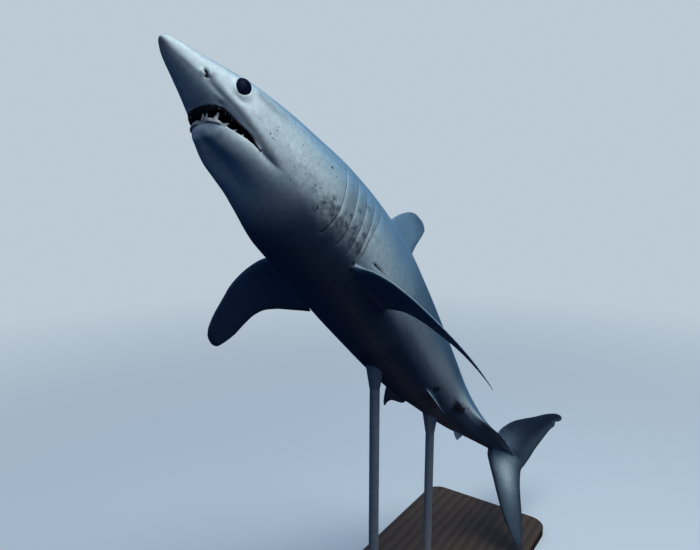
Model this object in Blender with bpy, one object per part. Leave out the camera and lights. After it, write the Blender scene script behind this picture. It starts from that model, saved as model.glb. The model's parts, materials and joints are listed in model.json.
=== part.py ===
"""A shortfin mako shark, life size, swimming nose-up on a plain display stand.

The body is one long loft: egg-shaped sections strung on a gently bent spine.  It is parted into
head, trunk and tail stock by planes across the spine, and the lower jaw is cut out of the head.
Each fin is a thin foil that grows out of the body, trimmed 0.3 mm clear of the skin.  Lengths along
and across the fish are given as shares of its length, and the rest of the sizes are in metres.
"""
import math

import bmesh
import bpy
import numpy as np

# ---- driving dimensions ------------------------------------------------------------------------
LENGTH = 2.10                 # snout to the root of the upper tail tip, along the spine
GAP = 0.0003                  # clearance between neighbouring solids
RING_POINTS = 36              # corners of one body section
NOSE_UP = 43.2                # pitch of the spine, degrees
BANK = 6.6                    # the left side is this much higher, degrees
ANCHOR = 0.35                 # the share of the length where the spine is level with the pose axes
ANCHOR_HEIGHT = 1.12          # height of that point above the floor

# sideways and downward sweep of the spine: degrees, and where it starts and ends
HEAD_YAW, HEAD_YAW_SPAN = 6.2, (0.08, 0.40)
MID_YAW, MID_YAW_SPAN = 1.6, (0.36, 0.66)
TAIL_YAW, TAIL_YAW_SPAN = 21.4, (0.60, 0.88)
TAIL_DIP, TAIL_DIP_SPAN = -3.7, (0.42, 0.88)

# distance behind the snout, half width, back above the spine, belly below it (shares)
SECTIONS = (
    (0.000, 0.0000, 0.0000, 0.0000),
    (0.004, 0.0054, 0.0048, 0.0048),
    (0.012, 0.0096, 0.0082, 0.0085),
    (0.030, 0.0162, 0.0146, 0.0132),
    (0.055, 0.0254, 0.0234, 0.0200),
    (0.080, 0.0345, 0.0320, 0.0284),
    (0.120, 0.0448, 0.0410, 0.0454),
    (0.160, 0.0538, 0.0488, 0.0562),
    (0.210, 0.0630, 0.0566, 0.0660),
    (0.270, 0.0662, 0.0642, 0.0668),
    (0.350, 0.0644, 0.0715, 0.0700),
    (0.430, 0.0584, 0.0684, 0.0700),
    (0.520, 0.0504, 0.0590, 0.0672),
    (0.620, 0.0400, 0.0470, 0.0524),
    (0.720, 0.0276, 0.0304, 0.0362),
    (0.780, 0.0208, 0.0190, 0.0238),
    (0.825, 0.0184, 0.0132, 0.0162),
    (0.880, 0.0130, 0.0112, 0.0126),
    (0.905, 0.0064, 0.0068, 0.0070),
)
# how far the side keels of the tail stock stand out: share behind the snout, share outwards
KEEL = ((0.60, 0.0), (0.68, 0.0085), (0.76, 0.0150), (0.83, 0.0125), (0.88, 0.0085), (0.93, 0.0))

HEAD_END = 0.268              # just behind the last gill slit
TRUNK_END = 0.655             # between the pelvic and the anal fin
STOCK_END = 0.905             # inside the tail fin

EYE_AT = (0.070, 72.0)        # share behind the snout, degrees down from the back
EYE_RADIUS = 0.0185           # of the eyeball's round outline
EYE_DEPTH = 0.012             # of the eyeball, outwards
EYE_SUNK = 0.0072             # the eyeball's centre below the skin

# the mouth's edges in side view: share behind the snout, share below the spine
UPPER_LIP = ((0.046, 0.0245), (0.057, 0.0216), (0.063, 0.0194), (0.070, 0.0186), (0.080, 0.0193),
             (0.094, 0.0220), (0.106, 0.0247), (0.114, 0.0266))
LOWER_LIP = ((0.046, 0.0262), (0.060, 0.0256), (0.072, 0.0254), (0.084, 0.0262), (0.096, 0.0269),
             (0.108, 0.0270), (0.114, 0.0268))
JAW_HINGE_FOOT = (0.129, 0.066)   # where the cut behind the lower jaw leaves the throat
MOUTH_FRONT = 0.046               # where the mouth's cutters start, ahead of the lips
CHIN_START, CHIN_DROP = 0.0635, 0.0052
MOUTH_CUT_HALF_WIDTH = 0.13       # of the cutters that part the jaw from the head
TEETH_PER_SIDE, FIRST_TOOTH, TOOTH_PITCH = 7, 0.0715, 0.0048
TOOTH_LENGTH, TOOTH_RADIUS = 0.013, 0.0026
TOOTH_INSET = 0.006               # from the lip's edge inwards, and down into the jaw

# gill slits: (share, degrees) of the upper end, then of the lower end
GILLS = (((0.194, 60), (0.205, 135)), ((0.214, 63), (0.226, 133)), ((0.231, 66), (0.243, 130)),
         ((0.245, 70), (0.254, 126)), ((0.256, 75), (0.262, 120)))
GILL_WIDTH, GILL_DEPTH = 0.0024, 0.007

# ribs of each fin: distance out from the fin's origin, front edge and rear edge along the fish
DORSAL_1 = ((0.055, 0.334, 0.436), (0.072, 0.341, 0.441), (0.080, 0.347, 0.474), (0.086, 0.352, 0.472),
            (0.098, 0.361, 0.455), (0.114, 0.373, 0.451), (0.128, 0.383, 0.454), (0.143, 0.396, 0.459),
            (0.157, 0.411, 0.464), (0.167, 0.427, 0.466), (0.173, 0.444, 0.463))
DORSAL_2 = ((0.016, 0.713, 0.733), (0.029, 0.717, 0.736), (0.033, 0.720, 0.755), (0.037, 0.726, 0.746),
            (0.041, 0.734, 0.743))
ANAL = ((0.018, 0.722, 0.743), (0.034, 0.726, 0.746), (0.038, 0.729, 0.757), (0.042, 0.733, 0.748),
        (0.047, 0.739, 0.746))
PELVIC = ((-0.013, -0.024, 0.014), (0.000, -0.0235, 0.016), (0.004, -0.021, 0.033),
          (0.009, -0.017, 0.025), (0.015, -0.011, 0.014), (0.020, -0.005, 0.010), (0.024, 0.001, 0.006))
PECTORAL = ((-0.022, -0.051, 0.018), (-0.004, -0.052, 0.020), (0.003, -0.052, 0.048), (0.011, -0.051, 0.043),
            (0.024, -0.048, 0.034), (0.041, -0.043, 0.024), (0.056, -0.036, 0.0205), (0.070, -0.028, 0.023),
            (0.084, -0.018, 0.029), (0.098, -0.008, 0.035), (0.112, 0.002, 0.041), (0.125, 0.013, 0.047),
            (0.136, 0.025, 0.0515), (0.143, 0.037, 0.0545), (0.150, 0.053, 0.0600))
TAIL_UPPER = ((0.0, 0.838, 0.9325), (0.014, 0.842, 0.940), (0.028, 0.849, 0.947), (0.044, 0.862, 0.955),
              (0.061, 0.880, 0.965), (0.080, 0.907, 0.976), (0.099, 0.936, 0.988), (0.112, 0.956, 0.998),
              (0.117, 0.964, 0.998), (0.121, 0.971, 1.004), (0.129, 0.985, 1.012), (0.136, 0.999, 1.014))
TAIL_LOWER = ((0.0, 0.818, 0.9325), (0.013, 0.821, 0.9255), (0.024, 0.827, 0.927), (0.038, 0.840, 0.931),
              (0.055, 0.856, 0.938), (0.076, 0.875, 0.948), (0.098, 0.897, 0.957), (0.116, 0.921, 0.964),
              (0.128, 0.939, 0.967), (0.136, 0.953, 0.965))
# each upright fin lies in the spine's own upright plane at this share of the length
DORSAL_PLANE, DORSAL_2_PLANE, ANAL_PLANE, TAIL_PLANE = 0.40, 0.735, 0.750, 0.88
PECTORAL_AT, PELVIC_AT = (0.297, 131.0), (0.564, 142.5)
# how each pair of fins is held: degrees of droop at the root, of twist that raises the front edge
# and of backward sweep, then how far the tip curls down (share)
PECTORAL_POSE = {"left": (18.0, 0.0, 9.5, 0.025), "right": (16.0, 4.5, 0.5, 0.012)}
PELVIC_POSE = (44.0, 0.0, 0.0, 0.0)
DORSAL_THICK, SMALL_FIN_THICK, UPPER_LOBE_THICK, LOWER_LOBE_THICK = 0.017, 0.007, 0.017, 0.016
PECTORAL_THICK, PELVIC_THICK = 0.020, 0.009
TIP_THINNING = 0.82           # how much thinner than its root a fin is at its tip (share)
FIN_EDGE = 0.0012             # thickness of a fin's rear edge
FOIL_POINTS = 6               # along each face of a fin's section

BASE_LENGTH, BASE_WIDTH, BASE_THICKNESS, BASE_CORNER = 1.30, 0.50, 0.035, 0.06
BASE_CHAMFER = 0.004
BASE_BEHIND_ANCHOR = 0.30     # centre of the base behind the anchor point
ROD_RADIUS, ROD_SIDES = 0.014, 24
RODS = {"front": 0.395, "rear": 0.610}    # the share of the length that each rod carries


# ---- the spine ---------------------------------------------------------------------------------
def smooth(x, low, high):
    """0 below low, 1 above high, and a smooth rise between them."""
    t = np.clip((np.asarray(x, float) - low) / (high - low), 0, 1)
    return t * t * (3 - 2 * t)


def curve_through(points, column=1):
    """A smooth function of the first column that never overshoots the values it passes through."""
    x = np.array([p[0] for p in points], float)
    y = np.array([p[column] for p in points], float)
    slope = np.diff(y) / np.diff(x)
    tangent = np.zeros(len(x))
    rising = slope[:-1] * slope[1:] > 0
    tangent[1:-1][rising] = 2 * slope[:-1][rising] * slope[1:][rising] / (slope[:-1] + slope[1:])[rising]
    tangent[0], tangent[-1] = slope[0], slope[-1]

    def value(at):
        at = np.clip(np.asarray(at, float), x[0], x[-1])
        i = np.clip(np.searchsorted(x, at, side="right") - 1, 0, len(x) - 2)
        h = x[i + 1] - x[i]
        t = (at - x[i]) / h
        return (y[i] * (1 + 2 * t) * (1 - t) ** 2 + y[i + 1] * t * t * (3 - 2 * t)
                + h * tangent[i] * t * (1 - t) ** 2 - h * tangent[i + 1] * t * t * (1 - t))
    return value


def pose_axes():
    """Forward, left and up of the straight fish at its anchor, in the world."""
    pitch, bank = math.radians(NOSE_UP), math.radians(BANK)
    forward = np.array([0, -math.cos(pitch), math.sin(pitch)])
    level_left = np.array([1.0, 0, 0])
    level_up = np.cross(forward, level_left)
    left = math.cos(bank) * level_left + math.sin(bank) * level_up
    return forward, left, np.cross(forward, left)


STEP = 0.0025
SPINE_S = np.arange(0, 1 + STEP / 2, STEP)


def spine_frames():
    """Place, forward, left and up of the spine at each of SPINE_S, by following its bends."""
    yaw = math.radians(HEAD_YAW) * (1 - smooth(SPINE_S, *HEAD_YAW_SPAN))
    yaw += math.radians(MID_YAW) * smooth(SPINE_S, *MID_YAW_SPAN)
    yaw += math.radians(TAIL_YAW) * smooth(SPINE_S, *TAIL_YAW_SPAN)
    dip = math.radians(TAIL_DIP) * smooth(SPINE_S, *TAIL_DIP_SPAN)
    back = np.stack([-np.cos(yaw) * np.cos(dip), np.sin(yaw) * np.cos(dip), np.sin(dip)], 1)
    place = np.cumsum(back * STEP, 0)
    place = (place - place[int(round(ANCHOR / STEP))]) * LENGTH
    forward = -back
    left = np.cross(np.array([0, 0, 1.0]), forward)
    left /= np.linalg.norm(left, axis=1)[:, None]
    up = np.cross(forward, left)
    axes = np.array(pose_axes())
    anchor = np.array([0, 0, ANCHOR_HEIGHT])
    return place @ axes + anchor, forward @ axes, left @ axes, up @ axes


SPINE = spine_frames()


def frame_at(s):
    """Place, forward, left and up of the spine at s; s may be an array."""
    x = np.clip(np.atleast_1d(s) / STEP, 0, len(SPINE_S) - 1.001)
    i = x.astype(int)
    t = (x - i)[:, None]
    return [row[i] * (1 - t) + row[i + 1] * t for row in SPINE]


def place(s, y, z):
    """World points at s along the spine, y metres to the left of it and z above it."""
    at, _, left, up = frame_at(s)
    return at + left * np.atleast_1d(y)[:, None] + up * np.atleast_1d(z)[:, None]


# ---- the body's sections -----------------------------------------------------------------------
HALF_WIDTH = curve_through(SECTIONS, 1)
BACK = curve_through(SECTIONS, 2)
BELLY = curve_through(SECTIONS, 3)
KEEL_OUT = curve_through(KEEL)


def section(s, degrees, drop=0.0):
    """Left and up, in metres, of the skin at s and so many degrees from the back towards the left."""
    angle = np.radians(degrees)
    side, rise = np.sin(angle), np.cos(angle)
    head = smooth(s, 0.02, 0.05) * (1 - smooth(s, 0.11, 0.17))
    snout = 1 - smooth(s, 0.06, 0.12)
    power = np.where(rise > 0, 0.92 - 0.08 * head, 0.92 - 0.14 * snout)
    across = np.abs(side) ** power
    across -= 0.06 * head * (np.clip(across - 0.8, 0, 1) / 0.2) ** 2          # flat cheeks by the eyes
    off_side = np.degrees(np.arccos(np.clip(np.abs(side), 0, 1)))
    y = (HALF_WIDTH(s) * across + KEEL_OUT(s) * np.exp(-(off_side / 13.0) ** 2)) * np.sign(side)
    height = np.where(rise > 0, BACK(s), BELLY(s) + drop)
    z = height * np.sign(rise) * np.abs(rise) ** power
    return y * LENGTH, z * LENGTH


def skin_point(s, degrees, out=0.0):
    """A world point on the skin, moved outwards from it by out metres, and the outward direction."""
    y, z = section(s, degrees)
    here = place(s, y, z)[0]
    along = place(s + 0.002, *section(s + 0.002, degrees))[0] - here
    around = place(s, *section(s, degrees + 1.0))[0] - here
    normal = np.cross(around, along)
    normal /= np.linalg.norm(normal)
    return here + normal * out, normal


# ---- meshes ------------------------------------------------------------------------------------
def material(name, colour, roughness, metallic=0.0):
    """A plain finish; the colour is linear red, green and blue."""
    made = bpy.data.materials.new(name)
    made.use_nodes = True
    shader = made.node_tree.nodes["Principled BSDF"]
    shader.inputs["Base Color"].default_value = (*colour, 1)
    shader.inputs["Roughness"].default_value = roughness
    shader.inputs["Metallic"].default_value = metallic
    return made


def new_object(name, bm, finish=None):
    """Makes an object from a bmesh, with its faces turned outwards."""
    bmesh.ops.recalc_face_normals(bm, faces=bm.faces)
    mesh = bpy.data.meshes.new(name)
    bm.to_mesh(mesh)
    bm.free()
    mesh.shade_smooth()
    mesh.set_sharp_from_angle(angle=math.radians(35))
    made = bpy.data.objects.new(name, mesh)
    bpy.context.scene.collection.objects.link(made)
    if finish:
        mesh.materials.append(finish)
    return made


def as_cutter(made):
    """Marks an object as a tool that isn't part of the model."""
    made.hide_render = True
    made.display_type = "WIRE"
    return made


def boolean(made, cutter, operation="DIFFERENCE"):
    """Cuts the cutter out of made, or joins or crosses the two."""
    change = made.modifiers.new(operation.title(), "BOOLEAN")
    change.operation = operation
    change.solver = "EXACT"
    change.object = cutter


def add_loft(bm, rings):
    """Adds one closed body through rings of equally many points, with flat or pointed ends."""
    rows = [[bm.verts.new(p) for p in ring] for ring in rings]
    for a, b in zip(rows, rows[1:]):
        for i in range(len(a)):
            j = (i + 1) % len(a)
            bm.faces.new((a[i], a[j], b[j], b[i]))
    for row in (rows[0], rows[-1]):
        middle = bm.verts.new(np.mean([v.co[:] for v in row], axis=0))
        for i in range(len(row)):
            bm.faces.new((row[i], row[(i + 1) % len(row)], middle))


def add_prism(bm, outline, half_width):
    """Adds the side-view outline (share along, share below the spine) as a slab across the fish."""
    s = np.array([p[0] for p in outline])
    z = -np.array([p[1] for p in outline]) * LENGTH
    add_loft(bm, [place(s, np.full(len(s), y), z) for y in (-half_width, half_width)])


# ---- body --------------------------------------------------------------------------------------
AROUND = np.arange(RING_POINTS) * 360.0 / RING_POINTS
RING_S = (0.0008, 0.004, 0.009, 0.016, 0.026, 0.038, 0.051, 0.064, 0.078, 0.094, 0.112, 0.132, 0.155,
          0.180, 0.208, 0.238, HEAD_END, 0.310, 0.355, 0.400, 0.445, 0.490, 0.535, 0.578, 0.618,
          TRUNK_END, 0.688, 0.718, 0.745, 0.770, 0.795, 0.818, 0.842, 0.866, 0.888, STOCK_END)


def body_ring(s, grow=0.0):
    """One section; growing it moves each point outwards across the spine."""
    y, z = section(s, AROUND)
    reach = np.hypot(y, z)
    scale = 1 + grow / np.maximum(reach, 0.001)
    return place(np.full(RING_POINTS, s), y * scale, z * scale)


def body_length(start, end, grow=0.0):
    """Rings from start to end, with both ends drawn in by half a gap unless the fish ends there."""
    pull = GAP / 2 / LENGTH - grow / LENGTH
    stations = [s for s in RING_S if start <= s <= end]
    if start > RING_S[0]:
        stations[0] += pull
    if end < RING_S[-1]:
        stations[-1] -= pull
    return [body_ring(s, grow) for s in stations]


def make_body_part(name, start, end, finish):
    """One length of the body, closed at both ends."""
    bm = bmesh.new()
    add_loft(bm, body_length(start, end))
    return new_object(name, bm, finish)


def make_trimmer(name="trimmer"):
    """The whole body grown by the gap, which trims whatever grows out of it or carries it."""
    bm = bmesh.new()
    add_loft(bm, body_length(RING_S[0], RING_S[-1], grow=1.15 * GAP))
    return as_cutter(new_object(name, bm))


# ---- head --------------------------------------------------------------------------------------
def eye_rings(side, grow=0.0):
    """The eyeball: a flattened ball whose short axis stands square to the cheek."""
    s, degrees = EYE_AT
    centre, normal = skin_point(s, side * degrees, -EYE_SUNK)
    first = np.cross(normal, frame_at(s)[3][0])
    first /= np.linalg.norm(first)
    second = np.cross(normal, first)
    turns = np.arange(20) * math.tau / 20
    rings = []
    for polar in np.linspace(0.12, math.pi - 0.12, 11):
        wide = (EYE_RADIUS + grow) * math.sin(polar)
        flat = [first * math.cos(t) * wide + second * math.sin(t) * wide for t in turns]
        rings.append([centre + normal * (EYE_DEPTH + grow) * math.cos(polar) + p for p in flat])
    return rings


def make_eye(name, side, finish):
    """One eyeball."""
    bm = bmesh.new()
    add_loft(bm, eye_rings(side))
    return new_object(name, bm, finish)


def gill_rings(upper, lower, side):
    """A thin curved wedge along one gill slit, bowed towards the tail."""
    rings = []
    for t in np.linspace(0, 1, 7):
        s = upper[0] + (lower[0] - upper[0]) * t + 0.0022 * math.sin(math.pi * t)
        degrees = side * (upper[1] + (lower[1] - upper[1]) * t)
        thin = max(0.25, math.sin(math.pi * t) ** 0.5) * GILL_WIDTH / 2 / LENGTH
        corners = [(s - thin, 0.004), (s + thin, 0.004), (s + 0.3 * thin, -GILL_DEPTH),
                   (s - 0.3 * thin, -GILL_DEPTH)]
        rings.append([skin_point(at, degrees, out)[0] for at, out in corners])
    return rings


def make_head_cutter():
    """The mouth with the lower jaw's room, both eye sockets and all gill slits, as one cutter."""
    bm = bmesh.new()
    room = list(UPPER_LIP) + [JAW_HINGE_FOOT, (MOUTH_FRONT, JAW_HINGE_FOOT[1])]
    add_prism(bm, room, MOUTH_CUT_HALF_WIDTH)
    for side in (1, -1):
        add_loft(bm, eye_rings(side, grow=GAP))
        for upper, lower in GILLS:
            add_loft(bm, gill_rings(upper, lower, side))
    return as_cutter(new_object("head_cutter", bm))


def tooth_rings(base, tip, radius):
    """A slim spike of five sides, from inside its jaw to the tip."""
    axis = tip - base
    first = np.cross(axis, [0.31, 0.59, 0.75])
    first /= np.linalg.norm(first)
    second = np.cross(axis / np.linalg.norm(axis), first)
    turns = np.arange(5) * math.tau / 5
    shares = ((0.0, 1.0), (0.55, 0.8), (0.98, 0.12))
    return [[base + axis * along + radius * wide * (first * math.cos(t) + second * math.sin(t))
             for t in turns] for along, wide in shares]


def make_teeth(name, lip, direction):
    """A row of spikes along a lip; direction is 1 up from the lower jaw, -1 down from the upper."""
    height = curve_through(lip)
    bm = bmesh.new()
    for side in (1, -1):
        for k in range(TEETH_PER_SIDE):
            s = FIRST_TOOTH + TOOTH_PITCH * k
            z = -height(s) * LENGTH
            belly = (BELLY(s) + (chin_drop(s) if direction > 0 else 0)) * LENGTH
            share = min(abs(z) / belly, 0.995)
            edge = HALF_WIDTH(s) * LENGTH * (1 - share ** 2.2) ** 0.46
            y = side * max(edge - TOOTH_INSET, 0.004)
            length = TOOTH_LENGTH * (1 - 0.07 * k)
            base, tip = place([s, s - 0.001], [y, y + side * 0.002],
                              [z - direction * TOOTH_INSET, z + direction * length * 0.6])
            add_loft(bm, tooth_rings(base, tip, TOOTH_RADIUS))
    return as_cutter(new_object(name, bm))


def chin_drop(s):
    """How much deeper than the plain section the open lower jaw hangs (share)."""
    front = np.sqrt(np.clip((np.asarray(s, float) - CHIN_START) / 0.007, 0, 1))
    return CHIN_DROP * front * (1 - smooth(s, 0.078, 0.118))


def make_head(finish):
    """Snout, cheeks, upper jaw and gills, with the upper teeth."""
    head = make_body_part("head", RING_S[0], HEAD_END, finish)
    boolean(head, make_head_cutter())
    boolean(head, make_teeth("upper_teeth", UPPER_LIP, -1), "UNION")
    return head


def make_lower_jaw(finish):
    """The hanging jaw: the head's sections with a dropped chin, kept below the lower lip."""
    bm = bmesh.new()
    stations = (CHIN_START, 0.0645, 0.0665, 0.0705, 0.078, 0.088, 0.099, 0.112, 0.124, 0.136)
    rings = []
    for s in stations:
        y, z = section(s, AROUND, drop=chin_drop(s))
        rings.append(place(np.full(RING_POINTS, s), y, z))
    add_loft(bm, rings)
    jaw = new_object("lower_jaw", bm, finish)
    keep = bmesh.new()
    clear = 1.2 * GAP / LENGTH
    hinge_side = 0.1                     # the lip's points behind here also move clear of the hinge
    outline = [(s - clear if s > hinge_side else s, z + clear) for s, z in LOWER_LIP]
    outline += [(JAW_HINGE_FOOT[0] - clear, JAW_HINGE_FOOT[1]), (MOUTH_FRONT, JAW_HINGE_FOOT[1])]
    add_prism(keep, outline, MOUTH_CUT_HALF_WIDTH)
    boolean(jaw, as_cutter(new_object("jaw_room", keep)), "INTERSECT")
    boolean(jaw, make_teeth("lower_teeth", LOWER_LIP, 1), "UNION")
    return jaw


# ---- fins --------------------------------------------------------------------------------------
def foil(share):
    """Half thickness of a fin's section, from 0 at its front edge, through 1, to 0 at its rear."""
    return 2.6 * math.sqrt(share) * (1 - share) ** 1.15


def fin_rings(ribs, origin, aft, out, thickness, bend=0.0):
    """Sections of a fin.  aft and out are the directions of its ribs' numbers, and bend curls its tip."""
    across = np.cross(out, aft)
    tip = ribs[-1][0]
    spread = (1 - np.cos(np.linspace(0, math.pi, FOIL_POINTS + 1))) / 2
    rings = []
    for span, front, rear in ribs:
        along = max(span, 0) / tip
        half = thickness * (1 - TIP_THINNING * along) / 2
        lift = bend * LENGTH * along ** 2
        stem = origin + out * span * LENGTH + across * lift
        chord = (rear - front) * LENGTH
        points = []
        for share in list(spread) + list(spread[-2:0:-1]):
            face = 1 if len(points) <= FOIL_POINTS else -1
            fat = max(half * foil(share), FIN_EDGE / 2 if share > 0.5 else 0)
            points.append(stem + aft * (front * LENGTH + chord * share) + across * face * fat)
        points.append(points[FOIL_POINTS] - across * FIN_EDGE)
        rings.append(points[:FOIL_POINTS + 1] + [points[-1]] + points[FOIL_POINTS + 1:-1])
    return rings


def make_fin(name, ribs, origin, aft, out, thickness, finish, trimmer, bend=0.0):
    """A fin from its ribs, trimmed clear of the body."""
    bm = bmesh.new()
    add_loft(bm, fin_rings(ribs, origin, aft, out, thickness, bend))
    made = new_object(name, bm, finish)
    boolean(made, trimmer)
    return made


def make_upright_fin(name, ribs, plane, down, thickness, finish, trimmer):
    """A fin in the spine's upright plane at one station, above the spine or below it."""
    at, forward, _, up = (row[0] for row in frame_at(plane))
    origin = at + forward * plane * LENGTH
    return make_fin(name, ribs, origin, -forward, -up if down else up, thickness, finish, trimmer)


def make_paired_fin(name, ribs, at, side, pose, thickness, finish, trimmer):
    """A fin of a pair, which leaves the flank and is held as pose says."""
    s, degrees = at
    droop, twist, sweep = (math.radians(angle) for angle in pose[:3])
    origin = skin_point(s, side * degrees)[0]
    _, forward, left, up = (row[0] for row in frame_at(s))
    level = side * left * math.cos(droop) - up * math.sin(droop)
    upper_face = side * np.cross(forward, level)
    level_aft = -forward * math.cos(twist) - upper_face * math.sin(twist)
    out = level * math.cos(sweep) + level_aft * math.sin(sweep)
    aft = level_aft * math.cos(sweep) - level * math.sin(sweep)
    return make_fin(name, ribs, origin, aft, out, thickness, finish, trimmer, -side * pose[3])


def make_fins(back, pale, trimmer):
    """Every fin; the two lobes of the tail fin keep a gap between them."""
    half_gap = GAP / 2 / LENGTH
    upper = ((half_gap, *TAIL_UPPER[0][1:]), *TAIL_UPPER[1:])
    lower = ((half_gap, *TAIL_LOWER[0][1:]), *TAIL_LOWER[1:])
    make_upright_fin("dorsal_fin_first", DORSAL_1, DORSAL_PLANE, False, DORSAL_THICK, back, trimmer)
    make_upright_fin("dorsal_fin_second", DORSAL_2, DORSAL_2_PLANE, False, SMALL_FIN_THICK, back,
                     trimmer)
    make_upright_fin("anal_fin", ANAL, ANAL_PLANE, True, SMALL_FIN_THICK, pale, trimmer)
    make_upright_fin("caudal_fin_upper", upper, TAIL_PLANE, False, UPPER_LOBE_THICK, back, trimmer)
    make_upright_fin("caudal_fin_lower", lower, TAIL_PLANE, True, LOWER_LOBE_THICK, back, trimmer)
    for name, side in (("left", 1), ("right", -1)):
        make_paired_fin("pectoral_fin_" + name, PECTORAL, PECTORAL_AT, side, PECTORAL_POSE[name],
                        PECTORAL_THICK, pale, trimmer)
        make_paired_fin("pelvic_fin_" + name, PELVIC, PELVIC_AT, side, PELVIC_POSE,
                        PELVIC_THICK, pale, trimmer)


# ---- stand -------------------------------------------------------------------------------------
def make_stand_base(finish):
    """A flat plate with round corners and a small chamfer, under the fish's middle."""
    bm = bmesh.new()
    corners = []
    for x, y, start in ((1, 1, 0), (-1, 1, 90), (-1, -1, 180), (1, -1, 270)):
        for turn in range(0, 91, 15):
            angle = math.radians(start + turn)
            corners.append((x * (BASE_WIDTH / 2 - BASE_CORNER) + BASE_CORNER * math.cos(angle),
                            y * (BASE_LENGTH / 2 - BASE_CORNER) + BASE_CORNER * math.sin(angle)
                            + BASE_BEHIND_ANCHOR))
    outline = [bm.verts.new((x, y, 0)) for x, y in corners]
    face = bm.faces.new(outline)
    raised = bmesh.ops.extrude_face_region(bm, geom=[face])["geom"]
    top = [v for v in raised if isinstance(v, bmesh.types.BMVert)]
    bmesh.ops.translate(bm, verts=top, vec=(0, 0, BASE_THICKNESS))
    rim = [e for e in bm.edges if all(v.co.z > BASE_THICKNESS / 2 for v in e.verts)]
    bmesh.ops.bevel(bm, geom=rim, offset=BASE_CHAMFER, segments=1, affect="EDGES")
    return new_object("stand_base", bm, finish)


def make_stand_rod(name, share, finish, trimmer):
    """An upright rod from the plate to the belly, trimmed to the belly's shape."""
    foot = frame_at(share)[0][0]
    turns = np.arange(ROD_SIDES) * math.tau / ROD_SIDES
    rings = []
    for height in (BASE_THICKNESS + GAP, foot[2]):
        rings.append([(foot[0] + ROD_RADIUS * math.cos(t), foot[1] + ROD_RADIUS * math.sin(t), height)
                      for t in turns])
    bm = bmesh.new()
    add_loft(bm, rings)
    made = new_object(name, bm, finish)
    boolean(made, trimmer)
    return made


def centre_over_origin():
    """Slides everything sideways so that the middle of the whole box stands over the origin."""
    bpy.context.view_layer.update()
    graph = bpy.context.evaluated_depsgraph_get()
    shown = [o for o in bpy.data.objects if o.type == "MESH" and not o.hide_render]
    points = []
    for o in shown:
        mesh = o.evaluated_get(graph).to_mesh()
        points += [v.co[:] for v in mesh.vertices]
    points = np.array(points)
    middle = (points.min(0) + points.max(0)) / 2
    for o in bpy.data.objects:
        o.location.x -= middle[0]
        o.location.y -= middle[1]
    print("moved by", -middle[:2], "size", points.max(0) - points.min(0))


def main():
    for o in list(bpy.data.objects):
        bpy.data.objects.remove(o)
    blue_grey = material("blue_grey_back", (0.10, 0.13, 0.17), 0.45)
    silver = material("silver_flank", (0.42, 0.46, 0.50), 0.42)
    dark = material("dusky_fin", (0.16, 0.18, 0.21), 0.45)
    eye_black = material("eye_black", (0.01, 0.012, 0.02), 0.08)
    plate = material("stand_plate", (0.55, 0.55, 0.56), 0.5)
    steel = material("stand_steel", (0.62, 0.63, 0.65), 0.3, 1.0)
    trimmer = make_trimmer()
    make_head(silver)
    make_lower_jaw(silver)
    make_body_part("trunk", HEAD_END, TRUNK_END, silver)
    make_body_part("tail_stock", TRUNK_END, STOCK_END, blue_grey)
    make_eye("eye_left", 1, eye_black)
    make_eye("eye_right", -1, eye_black)
    make_fins(blue_grey, dark, trimmer)
    make_stand_base(plate)
    for end, share in RODS.items():
        make_stand_rod("stand_rod_" + end, share, steel, trimmer)
    centre_over_origin()


main()
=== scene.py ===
# %% [markdown]
# # A life-size mako shark on a display stand
#
# This lesson builds the looks of a museum model: a shortfin mako that swims nose-up above a plain
# stand. The solids of the model are loaded first and never change. They say where everything is,
# and each step below adds a skin, a piece or a finish around them.

# %% Load the frame
import json
import math

import bmesh
import bpy
import numpy as np
from mathutils import Matrix, Vector, kdtree

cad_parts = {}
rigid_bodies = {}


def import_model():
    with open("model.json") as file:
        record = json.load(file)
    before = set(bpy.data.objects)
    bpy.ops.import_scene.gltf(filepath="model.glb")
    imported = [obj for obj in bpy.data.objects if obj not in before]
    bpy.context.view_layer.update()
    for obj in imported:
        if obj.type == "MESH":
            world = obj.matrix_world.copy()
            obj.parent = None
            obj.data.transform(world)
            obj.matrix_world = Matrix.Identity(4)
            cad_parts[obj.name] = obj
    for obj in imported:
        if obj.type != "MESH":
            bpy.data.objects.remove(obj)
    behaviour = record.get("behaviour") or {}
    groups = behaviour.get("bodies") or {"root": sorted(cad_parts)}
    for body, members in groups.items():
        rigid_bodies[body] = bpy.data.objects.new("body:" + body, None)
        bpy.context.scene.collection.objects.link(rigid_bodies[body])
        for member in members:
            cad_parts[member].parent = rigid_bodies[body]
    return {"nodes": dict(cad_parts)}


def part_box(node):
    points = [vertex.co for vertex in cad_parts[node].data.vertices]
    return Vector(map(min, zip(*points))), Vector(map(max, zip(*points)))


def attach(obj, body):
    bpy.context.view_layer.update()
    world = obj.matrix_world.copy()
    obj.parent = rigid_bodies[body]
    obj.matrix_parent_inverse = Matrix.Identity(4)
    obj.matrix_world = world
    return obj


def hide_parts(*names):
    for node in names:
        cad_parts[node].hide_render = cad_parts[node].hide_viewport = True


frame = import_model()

for left_over in [o for o in bpy.data.objects if o.type != "EMPTY" and o.name not in frame["nodes"]]:
    bpy.data.objects.remove(left_over)
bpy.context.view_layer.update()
scene = bpy.context.scene
print("solids in the frame:", len(frame["nodes"]))

# %% [markdown]
# ## Where the fish is
#
# A fish has its own directions: forward along the spine, left, and up out of the back. Nearly every
# place on it is easiest to say as a share of its length behind the snout and an angle around the
# body, 0 at the back, 90 at the left side and 180 at the belly. The spine bends, so these helpers
# turn such a place into a point of the room. The numbers are the model's own driving sizes, and the
# stand's base, which stays in the frame, says where the whole fish is.

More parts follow.
